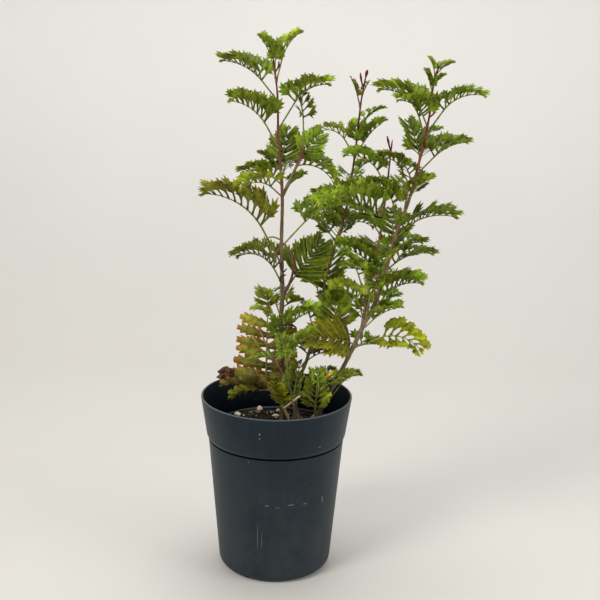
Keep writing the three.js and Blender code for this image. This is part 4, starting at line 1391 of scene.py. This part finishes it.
studio = {
    "floorColor": (0.6, 0.585, 0.555),
    "wallColor": (0.725, 0.711, 0.69),
    "floorFront": -2.5,
    "floorBack": 0.45,
    "bendRadius": 0.5,
    "wallTop": 3.0,
    "halfWidth": 3.0,
    "world": (1.0, 0.99, 0.97),
    "worldStrength": 0.54,
}

# Disk lamps: (name, place, target, size, power, colour).
lamps = [
    ("keyLight", (-0.7, -0.75, 1.05), (0.03, 0, 0.2), 0.5, 9.8, (1, 0.985, 0.95)),
    ("fillLight", (0.95, -0.45, 0.6), (0.03, 0, 0.15), 0.7, 4.0, (1, 1, 1)),
    ("topLight", (0.1, 0.25, 1.3), (0.03, 0, 0.1), 0.8, 7.6, (1, 1, 1)),
]

photoCamera = {
    "place": (0.015, -0.720, 0.375),
    "lens": 65.4,
    "sensorWidth": 36,
    "nearClip": 0.02,
    "below": 14.2,  # how far under the horizon it looks
    "roll": 1.1,
}


# A floor that turns up into a wall: flat, then a quarter circle, then upright.
def makeStage():
    bend, back, half = studio["bendRadius"], studio["floorBack"], studio["halfWidth"]
    turn = np.linspace(0, np.pi / 2, 24)
    y = np.concatenate([[studio["floorFront"], back], back + bend * np.sin(turn), [back + bend]])
    z = np.concatenate([[0, 0], bend * (1 - np.cos(turn)), [studio["wallTop"]]])
    x = np.linspace(-half, half, 5)
    points = np.stack(np.broadcast_arrays(x[None, :], y[:, None], z[:, None]), -1).reshape(-1, 3)
    i, j = np.meshgrid(np.arange(len(y) - 1), np.arange(len(x) - 1), indexing="ij")
    here = (i * len(x) + j).ravel()
    faces = np.stack([here, here + 1, here + 1 + len(x), here + len(x)], -1)
    material, tree, shader = newMaterial("paleFloor", 0.75, 0.3)
    rising = ramp(placeByAxis(tree)["Z"], 0.0, 0.4)
    plain = blend(rising, studio["floorColor"], studio["wallColor"])
    clouds = gray(span(ramp(noise(tree, 7), 0.2, 0.8), 0.98, 1.0))
    tree.links.new(tinted(plain, clouds), shader.inputs["Base Color"])
    mesh = bpy.data.meshes.new("paleFloor")
    mesh.from_pydata(points.tolist(), [], faces.tolist())
    mesh.polygons.foreach_set("use_smooth", np.ones(len(faces), bool))
    mesh.materials.append(material)
    floor = bpy.data.objects.new("paleFloor", mesh)
    scene.collection.objects.link(floor)


def addLamp(name, place, target, size, power, color):
    light = bpy.data.lights.new(name, "AREA")
    light.shape, light.size, light.energy, light.color = "DISK", size, power, color
    lamp = bpy.data.objects.new(name, light)
    scene.collection.objects.link(lamp)
    lamp.location = place
    x, y, z = np.array(target, float) - np.array(place, float)
    away = math.acos(-z / np.linalg.norm([x, y, z]))
    lamp.rotation_euler = (away, 0, math.atan2(y, x) - math.pi / 2)


def makeLights():
    world = bpy.data.worlds.new("softStudio")
    world.use_nodes = True
    background = world.node_tree.nodes["Background"]
    background.inputs["Color"].default_value = (*studio["world"], 1)
    background.inputs["Strength"].default_value = studio["worldStrength"]
    scene.world = world
    for lamp in lamps:
        addLamp(*lamp)


def makeCamera():
    camera = bpy.data.cameras.new("photoCamera")
    camera.sensor_width, camera.lens = photoCamera["sensorWidth"], photoCamera["lens"]
    camera.clip_start = photoCamera["nearClip"]
    holder = bpy.data.objects.new("photoCamera", camera)
    scene.collection.objects.link(holder)
    # the roll turns the camera about its own line of sight, before it is tipped up
    tip = Matrix.Rotation(math.radians(90 - photoCamera["below"]), 4, "X")
    placed = tip @ Matrix.Rotation(math.radians(photoCamera["roll"]), 4, "Z")
    placed.translation = photoCamera["place"]
    holder.matrix_world = placed
    scene.camera = holder


makeStage()
makeLights()
makeCamera()
scene.view_settings.view_transform = "Standard"
print("stage made")
